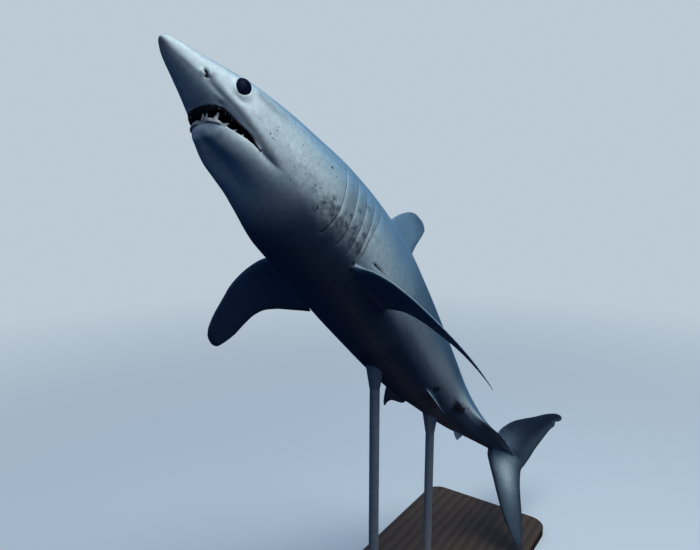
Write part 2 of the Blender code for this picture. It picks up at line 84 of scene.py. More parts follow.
# %% The fish's own measures
LENGTH = 2.10                     # snout to the tip of the tail along the spine
NOSE_UP, BANK = 43.2, 6.6         # degrees: the spine's climb, and the left side's lift
ANCHOR, ANCHOR_HEIGHT = 0.35, 1.12
BASE_BEHIND_ANCHOR = 0.30
HEAD_YAW, MID_YAW, TAIL_YAW, TAIL_DIP = 6.2, 1.6, 21.4, -3.7
MM = 0.001
STEP = 0.0025                     # of the spine's own points

# share behind the snout, half width, back above the spine, belly below it
SECTIONS = (
    (0.000, 0.0000, 0.0000, 0.0000), (0.0003, 0.0014, 0.0015, 0.0012),
    (0.0012, 0.0029, 0.0030, 0.0024), (0.004, 0.0052, 0.0051, 0.0045), (0.012, 0.0096, 0.0084, 0.0083),
    (0.030, 0.0162, 0.0146, 0.0132), (0.055, 0.0254, 0.0234, 0.0200), (0.080, 0.0345, 0.0320, 0.0284),
    (0.120, 0.0448, 0.0410, 0.0454), (0.160, 0.0538, 0.0488, 0.0562), (0.210, 0.0630, 0.0566, 0.0660),
    (0.270, 0.0662, 0.0642, 0.0668), (0.350, 0.0644, 0.0715, 0.0700), (0.430, 0.0584, 0.0684, 0.0700),
    (0.520, 0.0504, 0.0590, 0.0672), (0.620, 0.0400, 0.0470, 0.0524), (0.720, 0.0276, 0.0304, 0.0362),
    (0.780, 0.0208, 0.0190, 0.0238), (0.825, 0.0178, 0.0132, 0.0162), (0.855, 0.0120, 0.0112, 0.0126),
    (0.880, 0.0052, 0.0070, 0.0075), (0.905, 0.0020, 0.0030, 0.0035))
# how far the side keels of the tail stand out
KEEL_DEGREES = 97.0
KEEL = ((0.66, 0.0), (0.72, 0.0045), (0.77, 0.0125), (0.80, 0.0150), (0.83, 0.0120), (0.86, 0.0075),
        (0.89, 0.0045), (0.93, 0.0))

base_low, base_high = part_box("stand_base")
anchor = np.array([(base_low.x + base_high.x) / 2,
                   (base_low.y + base_high.y) / 2 - BASE_BEHIND_ANCHOR, ANCHOR_HEIGHT])
print("the spine's anchor point:", anchor.round(4))


# %% Smooth rises and curves
def smooth(x, low, high):
    """0 below low, 1 above high, and a smooth rise between them."""
    t = np.clip((np.asarray(x, float) - low) / (high - low), 0, 1)
    return t * t * (3 - 2 * t)


def unit(vector):
    """The vector's direction, one long."""
    return vector / np.linalg.norm(vector)


def hump(x, middle, width):
    """A bell of height 1 around the middle."""
    return np.exp(-((np.asarray(x, float) - middle) / width) ** 2)


def curve_through(points, column=1):
    """A smooth function of the first column that never overshoots the values it passes through."""
    x = np.array([p[0] for p in points], float)
    y = np.array([p[column] for p in points], float)
    slope = np.diff(y) / np.diff(x)
    tangent = np.zeros(len(x))
    rising = slope[:-1] * slope[1:] > 0
    tangent[1:-1][rising] = 2 * slope[:-1][rising] * slope[1:][rising] / (slope[:-1] + slope[1:])[rising]
    tangent[0], tangent[-1] = slope[0], slope[-1]

    def value(at):
        at = np.clip(np.asarray(at, float), x[0], x[-1])
        i = np.clip(np.searchsorted(x, at, side="right") - 1, 0, len(x) - 2)
        h = x[i + 1] - x[i]
        t = (at - x[i]) / h
        return (y[i] * (1 + 2 * t) * (1 - t) ** 2 + y[i + 1] * t * t * (3 - 2 * t)
                + h * tangent[i] * t * (1 - t) ** 2 - h * tangent[i + 1] * t * t * (1 - t))
    return value


half_width, back, belly = (curve_through(SECTIONS, column) for column in (1, 2, 3))
keel_out = curve_through(KEEL)
print("girth half width at 0.27:", round(float(half_width(0.27)) * LENGTH, 3), "m")


# %% The bent spine
def spine_frames():
    """Place, forward, left and up of the spine, every STEP of its length."""
    pitch, bank = math.radians(NOSE_UP), math.radians(BANK)
    ahead = np.array([0, -math.cos(pitch), math.sin(pitch)])
    level = np.array([1.0, 0, 0])
    left = math.cos(bank) * level + math.sin(bank) * np.cross(ahead, level)
    axes = np.array([ahead, left, np.cross(ahead, left)])
    s = np.arange(0, 1 + STEP / 2, STEP)
    yaw = np.radians(HEAD_YAW * (1 - smooth(s, 0.08, 0.40)) + MID_YAW * smooth(s, 0.36, 0.66)
                     + TAIL_YAW * smooth(s, 0.60, 0.88))
    dip = np.radians(TAIL_DIP * smooth(s, 0.42, 0.88))
    rear = np.stack([-np.cos(yaw) * np.cos(dip), np.sin(yaw) * np.cos(dip), np.sin(dip)], 1)
    place = np.cumsum(rear * STEP, 0)
    place = (place - place[int(round(ANCHOR / STEP))]) * LENGTH
    side = np.cross(np.array([0, 0, 1.0]), -rear)
    side /= np.linalg.norm(side, axis=1)[:, None]
    return place @ axes + anchor, -rear @ axes, side @ axes, np.cross(-rear, side) @ axes


spine = spine_frames()


def spine_at(s):
    """Place, forward, left and up of the spine at each of the shares s."""
    s = np.asarray(s, float)
    x = np.clip(s / STEP, 0, len(spine[0]) - 1.001)
    i = x.astype(int)
    t = (x - i)[..., None]
    return [row[i] * (1 - t) + row[i + 1] * t for row in spine]


def in_room(s, y, z):
    """Points at s, y metres to the left of the spine and z above it."""
    at, _, left, up = spine_at(s)
    return at + left * np.asarray(y)[..., None] + up * np.asarray(z)[..., None]


print("snout at", in_room(0.0, 0.0, 0.0).round(3), "tail root at", in_room(0.88, 0.0, 0.0).round(3))

# %% [markdown]
# ## Small words for finishes
#
# A finish is a tree of nodes. These helpers add one node each and link it, so that a finish below reads
# like a recipe. The even noise that all finishes but the floor's use is a shader group of its own.


# %% Node helpers
def node_material(name):
    """A new material with its node tree and the main shader."""
    made = bpy.data.materials.new(name)
    made.use_nodes = True
    return made, made.node_tree, made.node_tree.nodes["Principled BSDF"]


def node(tree, kind, **settings):
    """A new node of a kind, with its settings."""
    made = tree.nodes.new(kind)
    for key, value in settings.items():
        setattr(made, key, value)
    return made


def feed(tree, socket, value):
    """Links an output to the socket, or sets a plain value on it."""
    if isinstance(value, bpy.types.NodeSocket):
        tree.links.new(value, socket)
    else:
        socket.default_value = value


def mask(tree, name):
    """One of the numbers kept on the mesh's points."""
    return node(tree, "ShaderNodeAttribute", attribute_name=name).outputs["Fac"]


def number(tree, operation, first, second=0.0):
    """A sum, product or other operation on two numbers."""
    made = node(tree, "ShaderNodeMath", operation=operation)
    feed(tree, made.inputs[0], first)
    feed(tree, made.inputs[1], second)
    return made.outputs[0]


def between(tree, value, low, high, to_low=0.0, to_high=1.0):
    """Carries a value from one range to another with a smooth step, and holds it at the ends."""
    made = node(tree, "ShaderNodeMapRange", interpolation_type="SMOOTHSTEP")
    for socket, given in zip(made.inputs, (value, low, high, to_low, to_high)):
        feed(tree, socket, given)
    return made.outputs[0]


def blend(tree, share, first, second, kind="MIX"):
    """The first colour with so much of the second laid over it."""
    made = node(tree, "ShaderNodeMix", data_type="RGBA", blend_type=kind)
    feed(tree, made.inputs["Factor"], share)
    feed(tree, made.inputs["A"], first)
    feed(tree, made.inputs["B"], second)
    return made.outputs["Result"]


def camera_only(tree):
    """1 on what the camera sees itself, and 0 where light has bounced before."""
    return node(tree, "ShaderNodeLightPath").outputs["Is Camera Ray"]


def make_grain():
    """The shader group that the fish and its stand share: an even noise, from 0 to 1."""
    group = bpy.data.node_groups.new("grain", "ShaderNodeTree")
    group.interface.new_socket("Place", in_out="INPUT", socket_type="NodeSocketVector")
    for name in ("Scale", "Detail", "Roughness"):
        group.interface.new_socket(name, in_out="INPUT", socket_type="NodeSocketFloat")
    group.interface.new_socket("Height", in_out="OUTPUT", socket_type="NodeSocketFloat")
    given, result = group.nodes.new("NodeGroupInput"), group.nodes.new("NodeGroupOutput")
    made = group.nodes.new("ShaderNodeTexNoise")
    for outer, inner in (("Place", "Vector"), ("Scale", "Scale"), ("Detail", "Detail"),
                         ("Roughness", "Roughness")):
        group.links.new(given.outputs[outer], made.inputs[inner])
    group.links.new(made.outputs[0], result.inputs["Height"])
    return group


grain_group = make_grain()


def noise(tree, vector, scale, detail=3.0, roughness=0.5):
    """The shared grain, placed in a finish with its own scale, detail and roughness."""
    made = tree.nodes.new("ShaderNodeGroup")
    made.node_tree = grain_group
    feed(tree, made.inputs["Place"], vector)
    for name, value in (("Scale", scale), ("Detail", detail), ("Roughness", roughness)):
        made.inputs[name].default_value = value
    return made.outputs["Height"]


def stretched(tree, vector, scale):
    """A place with each direction stretched by its own scale."""
    made = node(tree, "ShaderNodeVectorMath", operation="MULTIPLY")
    feed(tree, made.inputs[0], vector)
    made.inputs[1].default_value = scale
    return made.outputs[0]


def place_of(tree):
    """The place on the piece itself, in metres."""
    return node(tree, "ShaderNodeTexCoord").outputs["Object"]


def colours(tree, value, stops):
    """The colour at a value, run smoothly through the stops."""
    made = node(tree, "ShaderNodeValToRGB")
    feed(tree, made.inputs["Fac"], value)
    while len(made.color_ramp.elements) < len(stops):
        made.color_ramp.elements.new(0.5)
    for element, (position, colour) in zip(made.color_ramp.elements, stops):
        element.position, element.color = position, (*colour, 1)
    return made.outputs["Color"]


def bump(tree, height, strength, distance):
    """A normal that follows fine relief."""
    made = node(tree, "ShaderNodeBump")
    feed(tree, made.inputs["Height"], height)
    made.inputs["Strength"].default_value = strength
    made.inputs["Distance"].default_value = distance
    return made.outputs["Normal"]


print("shared groups:", [group.name for group in bpy.data.node_groups])

# %% [markdown]
# ## The camera, the floor and the light
#
# The view is the one a diver has: from ahead and a little to the left of the fish, almost level with
# it. The floor is plain and pale. A mako is dark above and white below, and in the sea it is lit from
# above, so the studio has a large soft light overhead and only dim ones from the side and the front. A
# floor that threw its own light up would wash the shaded belly out, so it is pale to look at and dark
# to the rays that it would bounce.

# %% Camera
CAMERA_FROM_ANCHOR = (0.8131, -1.2141, 0.2668)
CAMERA_BACKWARD = (0.5636, -0.8078, 0.1728)
CAMERA_LENS = 30.01               # mm, on a sensor 36 mm wide

camera_data = bpy.data.cameras.new("camera")
camera_data.lens, camera_data.sensor_width = CAMERA_LENS, 36.0
camera = bpy.data.objects.new("camera", camera_data)
scene.collection.objects.link(camera)
camera.location = Vector(anchor) + Vector(CAMERA_FROM_ANCHOR)
camera.rotation_euler = (-Vector(CAMERA_BACKWARD)).to_track_quat("-Z", "Y").to_euler()
scene.camera = camera
print("camera at", [round(c, 3) for c in camera.location])


# %% Floor
FLOOR_HALF = 30.0
BACKDROP, BACKDROP_GLOW = (0.56, 0.66, 0.74, 1), 0.9
FADE_TO_BACKDROP = (0.5, 5.5)     # metres from the middle of the floor
FLOOR_COLOUR, FLOOR_BOUNCE = (0.82, 0.80, 0.80, 1), (0.003, 0.014, 0.042, 1)

bpy.ops.object.select_all(action="DESELECT")
bpy.ops.mesh.primitive_plane_add(size=2 * FLOOR_HALF, location=(0, 0, 0))
floor = bpy.context.object
floor.name = "floor"
floor_paint, tree, shader = node_material("floor_paint")
seen = camera_only(tree)
feed(tree, shader.inputs["Base Color"], blend(tree, seen, FLOOR_BOUNCE, FLOOR_COLOUR))
shader.inputs["Roughness"].default_value = 0.9
shader.inputs["Specular IOR Level"].default_value = 0.1
from_middle = node(tree, "ShaderNodeVectorMath", operation="LENGTH")
feed(tree, from_middle.inputs[0], place_of(tree))
far = between(tree, from_middle.outputs["Value"], *FADE_TO_BACKDROP)
backdrop = node(tree, "ShaderNodeEmission")
backdrop.inputs["Color"].default_value = BACKDROP
backdrop.inputs["Strength"].default_value = BACKDROP_GLOW
mixed = node(tree, "ShaderNodeMixShader")
feed(tree, mixed.inputs["Fac"], number(tree, "MULTIPLY", far, seen))
feed(tree, mixed.inputs[1], shader.outputs["BSDF"])
feed(tree, mixed.inputs[2], backdrop.outputs["Emission"])
feed(tree, tree.nodes["Material Output"].inputs["Surface"], mixed.outputs["Shader"])
floor.data.materials.append(floor_paint)
print("floor", FLOOR_HALF * 2, "m wide")


# %% Light
def soft_light(name, place, target, size, power, colour):
    """A square soft box that looks at the target."""
    data = bpy.data.lights.new(name, "AREA")
    data.size, data.energy, data.color = size, power, colour
    made = bpy.data.objects.new(name, data)
    scene.collection.objects.link(made)
    made.location = place
    made.rotation_euler = (Vector(target) - Vector(place)).to_track_quat("-Z", "Y").to_euler()
    return made


FISH_MIDDLE = (0.0, -0.25, 1.1)
soft_light("overhead", (1.25, 0.0, 4.0), FISH_MIDDLE, 1.9, 76.0, (0.82, 0.98, 1.0))
soft_light("side", (3.8, -0.6, 2.6), FISH_MIDDLE, 1.6, 5.0, (0.80, 0.97, 1.0))
soft_light("front", (2.2, -2.6, 3.4), (0.0, -0.7, 1.45), 1.2, 8.0, (0.84, 0.98, 1.0))

DEEP_BLUE, SKY_BLUE = (0.013, 0.050, 0.155, 1), (0.55, 0.75, 1.0, 1)
world = bpy.data.worlds.new("studio_sky")
world.use_nodes = True
scene.world = world
tree = world.node_tree
background = tree.nodes["Background"]
heights = node(tree, "ShaderNodeSeparateXYZ")
feed(tree, heights.inputs["Vector"], node(tree, "ShaderNodeTexCoord").outputs["Generated"])
ramp = node(tree, "ShaderNodeValToRGB")
feed(tree, ramp.inputs["Fac"], heights.outputs["Z"])
low_sky, high_sky = ramp.color_ramp.elements
low_sky.position, low_sky.color = 0.50, DEEP_BLUE
high_sky.position, high_sky.color = 1.0, SKY_BLUE
feed(tree, background.inputs["Color"], blend(tree, camera_only(tree), ramp.outputs["Color"], BACKDROP))
background.inputs["Strength"].default_value = BACKDROP_GLOW
scene.view_settings.view_transform = "Standard"

# %% [markdown]
# ## The skin's plain form
#
# A real mako's skin is one piece, from the snout over every fin to the tips of the tail, so it is one
# mesh here. A box could be pushed and pulled into a fish, but a bent spine and egg-shaped sections are
# hard to hit by hand. So a flat grid is added, and its corners are carried onto the body by the
# functions above: one direction of the grid runs along the fish and the other around it. The seam
# under the belly is then welded, and the ends are closed.

# %% The body's sections
# each gill slit, from its upper to its lower end: angle and share
GILLS = (
    ((49, 0.1926), (70, 0.1945), (85, 0.1972), (99, 0.2008), (114, 0.2044), (128, 0.2046), (138, 0.2030)),
    ((53, 0.2134), (75, 0.2149), (90, 0.2170), (104, 0.2208), (118, 0.2246), (128, 0.2256), (134, 0.2246)),
    ((57, 0.2266), (80, 0.2314), (94, 0.2343), (108, 0.2370), (120, 0.2402), (126, 0.2418), (131, 0.2428)),
    ((63, 0.2445), (86, 0.2464), (100, 0.2482), (112, 0.2504), (118, 0.2522), (123, 0.2541), (128, 0.2562)),
    ((69, 0.2596), (86, 0.2574), (98, 0.2553), (107, 0.2556), (114, 0.2572), (120, 0.2589), (125, 0.2606)))
gill_curves = [curve_through(gill) for gill in GILLS]
GILL_MIDDLES = [float(curve(98.0)) for curve in gill_curves]
CHIN_START, CHIN_DROP = 0.0660, 0.0052

# how far below the spine the lips are, by share
UPPER_LIP = ((0.046, 0.0236), (0.056, 0.0207), (0.061, 0.0195), (0.065, 0.0193), (0.072, 0.0203),
             (0.080, 0.0216), (0.090, 0.0225), (0.099, 0.0238), (0.1065, 0.0260), (0.1135, 0.0281),
             (0.140, 0.0310))
LOWER_LIP = ((0.046, 0.0270), (0.066, 0.0273), (0.071, 0.0285), (0.078, 0.0289), (0.088, 0.0285),
             (0.098, 0.0277), (0.1065, 0.0278), (0.1135, 0.0285), (0.140, 0.0314))
upper_lip, lower_lip = curve_through(UPPER_LIP), curve_through(LOWER_LIP)


def chin_drop(s, degrees):
    """How much deeper than the plain section the open lower jaw hangs."""
    front = np.sqrt(np.clip((s - CHIN_START) / 0.007, 0, 1))
    below_mouth = smooth(np.abs(degrees), 124, 137)
    drop = CHIN_DROP * (1 - smooth(s, 0.078, 0.118)) + 0.0020 * (1 - smooth(s, 0.070, 0.086))
    return drop * front * below_mouth


def section_power(s, rise):
    """How square the section is above or below the spine, and where the head's cheeks are flat."""
    head = smooth(s, 0.02, 0.05) * (1 - smooth(s, 0.11, 0.17))
    snout = 1 - smooth(s, 0.06, 0.12)
    return np.where(rise > 0, 0.92 - 0.08 * head, 0.92 - 0.14 * snout), head


def power_below(s):
    """How square the section is below the spine."""
    return section_power(s, np.full_like(s, -1.0))[0]


def section(s, degrees):
    """Left and up of the plain skin at s and so many degrees from the back towards the left."""
    angle = np.radians(degrees)
    side, rise = np.sin(angle), np.cos(angle)
    power, head = section_power(s, rise)
    across = np.abs(side) ** power
    across = across - 0.06 * head * (np.clip(across - 0.8, 0, 1) / 0.2) ** 2
    keel = keel_out(s) * hump(np.abs(degrees), KEEL_DEGREES, 9.0)
    taper = np.sqrt(np.clip(1 - (np.clip(s - 0.868, 0, 1) / 0.053) ** 2, 0, 1))
    y = (half_width(s) * across + keel) * np.sign(side) * taper
    height = np.where(rise > 0, back(s), belly(s) + chin_drop(s, degrees)) * taper
    z = height * np.sign(rise) * np.abs(rise) ** power
    return y * LENGTH, z * LENGTH


def plain_skin(s, degrees):
    """A point of the plain skin and the outward direction there; s and degrees may be grids."""
    here = in_room(s, *section(s, degrees))
    ds, da = 0.0004, 0.4
    behind = in_room(s + ds, *section(s + ds, degrees))
    along = behind - in_room(s - ds * 0.5, *section(s - ds * 0.5, degrees))
    around = in_room(s, *section(s, degrees + da)) - in_room(s, *section(s, degrees - da))
    normal = np.cross(around, along)
    return here, normal / np.maximum(np.linalg.norm(normal, axis=-1), 1e-12)[..., None]


EYE_S, EYE_DEGREES = 0.0707, 73.6
EYE_ALONG, EYE_AROUND = 0.0177, 0.0222   # half the eyeball's length and height
EYE_DEPTH, EYE_SUNK = 0.0107, 0.0054     # its half thickness, and how far its middle lies inside
EYE_SHOWN = math.sqrt(1 - (EYE_SUNK / EYE_DEPTH) ** 2)


def eye_frame(side):
    """Place on the plain skin, then the eye's own axes: along the head, around it and outwards."""
    s, degrees = np.array(EYE_S), np.array(EYE_DEGREES * side)
    centre = in_room(s, *section(s, degrees))
    along = in_room(s + 0.002, *section(s + 0.002, degrees)) - centre
    around = in_room(s, *section(s, degrees + 1.0)) - centre
    normal = unit(np.cross(around, along))
    first = unit(np.cross(normal, spine_at(s)[3]))
    return centre, first, np.cross(normal, first), normal


print("left eye near", eye_frame(1)[0].round(3))

# %% [markdown]
# ## Folds, slits and bulges
#
# What makes the head a head is small: five gill slits behind low flaps, the nostril and its groove, a
# firm rim round the eye, the ridge along the jaw and the crease behind the mouth. Each is a height in
# millimetres above or below the plain skin. They are functions of the place on the fish, so the mesh
# and its colours can use the same ones.


# %% Heights of the folds
def gill_line(k, degrees):
    """The share at which gill slit k crosses an angle, level past its ends."""
    return gill_curves[k](degrees)


def gill_reach(k, degrees):
    """1 along a gill slit and 0 past its two ends."""
    top, low = GILLS[k][0][0], GILLS[k][-1][0]
    return smooth(degrees, top, top + 10) * (1 - smooth(degrees, low - 7, low))


def gill_depth(s, degrees):
    """The flaps and slits, and the painted shade in each slit and on the flap's edge just before it (0 to
    1).
    """
    height, inside = np.zeros_like(s), np.zeros_like(s)
    for k in range(len(GILLS)):
        behind = (s - gill_line(k, degrees)) * LENGTH / MM
        reach = gill_reach(k, degrees)
        flap = 0.5 * np.exp(np.clip(behind, -60, 0) / 5.0)
        slit = -4.4 * smooth(behind, 0.0, 0.6) * np.exp(-np.clip(behind - 1.7, 0, 60) / 0.9)
        rise = -3.4 * np.exp(-np.clip(behind, 0, 60) / 7.5) + 0.6 * hump(behind, 17.0, 8.0)
        height += reach * np.where(behind > 0, slit + rise, flap)
        inside = np.maximum(inside, reach * smooth(behind, -1.5, -0.7) * (1 - smooth(behind, 2.2, 3.3)))
    return height, inside


def groove(s, degrees, path, width, depth, fade=0.25):
    """A groove along a path of (share, angle) points: its height, and how deep inside it a place is."""
    points = np.array(path, float)
    body_radius = (half_width(s) + belly(s)) / 2 * LENGTH / MM
    to_mm = np.radians(1.0) * body_radius
    nearest = np.full(s.shape, 1e9)
    share = np.zeros(s.shape)
    for i in range(len(points) - 1):
        a, b = points[i], points[i + 1]
        ax, ay = (s - a[0]) * LENGTH / MM, (degrees - a[1]) * to_mm
        bx, by = (b[0] - a[0]) * LENGTH / MM, (b[1] - a[1]) * to_mm
        t = np.clip((ax * bx + ay * by) / (bx * bx + by * by), 0, 1)
        distance = np.hypot(ax - t * bx, ay - t * by)
        share = np.where(distance < nearest, (i + t) / (len(points) - 1), share)
        nearest = np.minimum(nearest, distance)
    ends = smooth(share, 0, fade) * (1 - smooth(share, 1 - 2 * fade, 1))
    inside = hump(nearest, 0, width) * ends
    return -depth * inside, inside


NOSTRIL = ((0.0365, 97), (0.0388, 97), (0.0408, 98), (0.0420, 101), (0.0424, 105), (0.0418, 110),
           (0.0408, 115), (0.0400, 118))
LIP_CREASE = ((0.1105, 129), (0.1160, 129), (0.1225, 128), (0.1290, 127), (0.136, 126), (0.142, 125))
LIP_VALLEY = ((0.0415, 101), (0.0440, 106), (0.048, 110), (0.0545, 113.5), (0.061, 115), (0.068, 116.5),
              (0.075, 118), (0.083, 120.5), (0.094, 123), (0.1055, 125), (0.1155, 126.5), (0.126, 126),
              (0.140, 124.5))
JAW_LINE = ((0.0660, 175), (0.0705, 157), (0.0765, 148), (0.088, 139.5), (0.0975, 133.5), (0.109, 130),
            (0.125, 130))
VALLEY_WIDTH, JAW_FULLNESS = 10.5, 20.0   # mm
TEMPLE = ((0.0820, 61), (0.0880, 67), (0.0960, 72), (0.1070, 74.5), (0.1200, 76), (0.1400, 78))
EYE_FOLD = ((0.0655, 89), (0.0685, 92.5), (0.0725, 95), (0.0765, 94.5), (0.0825, 92), (0.0875, 88))
FIN_SLIT = ((0.2755, 114.8), (0.284, 114), (0.293, 112.8), (0.3035, 110.8))
JAW_RIDGE = ((0.010, 127), (0.026, 119), (0.044, 114), (0.058, 112), (0.073, 109), (0.0885, 112),
             (0.1025, 114), (0.125, 115))
ridge_line, jaw_line = curve_through(JAW_RIDGE), curve_through(JAW_LINE)


def mouth_folds(s, degrees):
    """Height in mm of the lips, the valley above them, the jaw and the crease; and the painted shade in the
    crease.
    """
    crease, deep = groove(s, degrees, LIP_CREASE, 2.8, 1.8, 0.25)
    height = crease + groove(s, degrees, LIP_CREASE, 9.0, 0.9, 0.4)[0]
    height += groove(s, degrees, LIP_VALLEY, VALLEY_WIDTH, 2.9, 0.11)[0]
    upper_edge = 180 - np.degrees(np.arccos(np.clip(upper_lip(s) / belly(s), 0, 1) ** (1 / power_below(s))))
    along_lip = smooth(s, 0.054, 0.062) * (1 - smooth(s, 0.098, 0.11))
    height += 1.1 * hump(degrees, upper_edge - 3.0, 2.6) * along_lip
    below_lip = np.clip(degrees - jaw_line(s), 0, 90)
    jaw_roll = (1 - np.exp(-below_lip / 17)) * (1 - smooth(below_lip, 20, 54))
    height += JAW_FULLNESS * jaw_roll * smooth(s, 0.0645, 0.0785) * (1 - smooth(s, 0.100, 0.150))
    height -= 2.6 * hump(s, 0.0605, 0.0075) * smooth(degrees, 140, 172)
    height -= 4.8 * hump(s, 0.128, 0.032) * smooth(degrees, 138, 176)
    return height, 0.36 * smooth(deep, 0.3, 0.95)


def eye_folds(s, degrees, points):
    """Height in mm of the eye's rim and socket, the fold under it and the temple behind it."""
    centre, first, second, _ = eye_frame(1)
    out_along = (points - centre) @ first / (EYE_ALONG * EYE_SHOWN)
    out_around = (points - centre) @ second / (EYE_AROUND * EYE_SHOWN)
    from_eye = np.hypot(out_along, out_around)
    height = 1.0 * hump(from_eye, 1.14, 0.13) - 3.2 * (1 - smooth(from_eye, 0.70, 1.02))
    height -= 1.1 * hump(from_eye, 1.75, 0.42) * smooth(degrees, 66, 96)
    height += groove(s, degrees, TEMPLE, 9.0, 2.2, 0.3)[0]
    return height + groove(s, degrees, EYE_FOLD, 4.5, 1.3, 0.25)[0]


def trunk_folds(s, degrees):
    """Height in mm of the snout's side ridge, the tail's two pits and the line along the flank."""
    from_ridge = degrees - ridge_line(s)
    along_head = smooth(s, 0.008, 0.03) * (1 - smooth(s, 0.10, 0.135))
    below_ridge = hump(from_ridge, 17, 12) * (1 - smooth(s, 0.04, 0.06))
    height = 0.4 * along_head * (hump(from_ridge, -1, 9) - below_ridge)
    pit = hump((s - 0.836) * LENGTH / MM, 0, 6.0)
    height -= 3.0 * pit * hump(degrees, 0, 28) + 2.4 * pit * hump(degrees, 180, 26)
    line = 74 + 12 * smooth(s, 0.30, 0.62)
    return height - 0.35 * hump(degrees, line, 1.6) * smooth(s, 0.27, 0.31) * (1 - smooth(s, 0.66, 0.72))


def folds(s, degrees, points):
    """Height of all folds in metres, and the painted shade in the slits, the nostril and the creases (0 to
    1).
    """
    height, slit_shade = gill_depth(s, degrees)
    nostril, nostril_deep = groove(s, degrees, NOSTRIL, 3.0, 5.4, 0.22)
    wedge, wedge_deep = groove(s, degrees, FIN_SLIT, 2.2, 3.4, 0.35)
    height += nostril + 1.4 * hump((s - 0.0370) * LENGTH / MM, 0, 4) * hump(degrees, 108, 9)
    mouth, crease_shade = mouth_folds(s, degrees)
    height += mouth + wedge + eye_folds(s, degrees, points) + trunk_folds(s, degrees)
    dark = np.maximum.reduce([slit_shade, crease_shade, smooth(nostril_deep, 0.2, 0.6),
                              smooth(wedge_deep, 0.2, 0.6)])
    return height * MM, dark


print("deepest gill, mm:", round(float(gill_depth(np.array([0.2018]), np.array([98.0]))[0][0]), 2))

# %% [markdown]
# ## Where the grid is fine
#
# A mesh needs small faces only where something small happens. The rows are a third of a millimetre
# apart at the lips of a gill slit and several millimetres apart on the smooth flank. Near the gills
# each row also follows the slits' own slant, so a slit is cut cleanly along the grid.


# %% Rows and columns
def graded(start, end, spacing):
    """Stations from start to end whose spacing in mm follows the function."""
    fine = np.linspace(start, end, 4000)
    count = np.concatenate([[0], np.cumsum(np.diff(fine) * LENGTH / MM / spacing(fine[:-1]))])
    steps = max(int(round(count[-1])), 1)
    return np.interp(np.linspace(0, count[-1], steps + 1), count, fine)


def row_spacing(s):
    """Millimetres between rows at s."""
    away = np.min([np.abs(s - g) for g in GILL_MIDDLES], axis=0) * LENGTH / MM
    near_gills = 0.45 + 0.33 * away
    head = 0.25 + 0.85 * smooth(s, 0.0, 0.010) + 1.3 * smooth(s, 0.0, 0.05) + 2.3 * smooth(s, 0.118, 0.150)
    head = head - 1.2 * hump(s, 0.040, 0.006)
    trunk = head + 5.5 * smooth(s, 0.300, 0.35) - 2.9 * hump(s, 0.289, 0.018)
    return np.minimum(near_gills, trunk)


BODY_START, BODY_END = 0.00006, 0.921
stops = (BODY_START, *GILL_MIDDLES, BODY_END)
rows = np.concatenate([graded(a, b, row_spacing)[:-1] for a, b in zip(stops, stops[1:])] + [[BODY_END]])


def column_angles(count):
    """Angles from 180 round to -180, closer together on the lower half of the sides."""
    fine = np.linspace(0, 180, 2000)
    weight = 1 + 0.9 * smooth(fine, 45, 70) * (1 - 0.35 * smooth(fine, 140, 165)) + 1.4 * hump(fine, 113, 5)
    grown = np.concatenate([[0], np.cumsum(weight[:-1])])
    half = np.interp(np.linspace(0, grown[-1], count // 2 + 1), grown, fine)
    return np.concatenate([half[::-1], -half[1:]])


columns = column_angles(172)
print("rows:", len(rows), "columns:", len(columns))


# %% The body grid
WELD = 0.000004                   # metres: points closer than this become one


def rolled_grid(name, points):
    """A flat grid whose corners are carried to points[row, column]; the two sides are then welded."""
    across, along = points.shape[0] - 1, points.shape[1] - 1
    bpy.ops.object.select_all(action="DESELECT")
    bpy.ops.mesh.primitive_grid_add(x_subdivisions=across, y_subdivisions=along, size=1.0)
    made = bpy.context.object
    made.name = made.data.name = name
    flat = np.zeros(len(made.data.vertices) * 3, np.float32)
    made.data.vertices.foreach_get("co", flat)
    flat = flat.reshape(-1, 3)
    i = np.rint((flat[:, 0] + 0.5) * across).astype(int)
    j = np.rint((flat[:, 1] + 0.5) * along).astype(int)
    made.data.vertices.foreach_set("co", points[i, j].astype(np.float32).ravel())
    bpy.ops.object.mode_set(mode="EDIT")
    bpy.ops.mesh.select_all(action="SELECT")
    bpy.ops.mesh.remove_doubles(threshold=WELD)
    bpy.ops.mesh.select_all(action="DESELECT")
    bpy.ops.mesh.select_mode(type="EDGE")
    bpy.ops.mesh.select_non_manifold()
    bpy.ops.mesh.fill_holes(sides=0)
    bpy.ops.mesh.select_mode(type="VERT")
    bpy.ops.mesh.select_all(action="SELECT")
    bpy.ops.mesh.normals_make_consistent(inside=False)
    if bmesh.from_edit_mesh(made.data).calc_volume(signed=True) < 0:
        bpy.ops.mesh.flip_normals()
    bpy.ops.object.mode_set(mode="OBJECT")
    return made


def follow_gills(s, degrees):
    """Shifts a grid of shares so that the gill rows lie along the slits."""
    knots = [0.165, *GILL_MIDDLES, 0.300]
    shifted = s.copy()
    for j in range(s.shape[1]):
        angle = abs(degrees[0, j])
        shift = [0.0] + [float(gill_line(k, angle)) - GILL_MIDDLES[k] for k in range(len(GILLS))] + [0.0]
        shifted[:, j] += np.interp(s[:, j], knots, shift)
    return shifted


grid_s, grid_angle = np.meshgrid(rows, columns, indexing="ij")
grid_s = follow_gills(grid_s, grid_angle)
plain, outward = plain_skin(grid_s, grid_angle)
fold_height, fold_shade = folds(grid_s, np.abs(grid_angle), np.where(
    (grid_angle >= 0)[..., None], plain, in_room(grid_s, *section(grid_s, -grid_angle))))
grid_points = plain + outward * fold_height[..., None]
skin = rolled_grid("skin", grid_points)
print("body grid:", len(skin.data.vertices), "points")

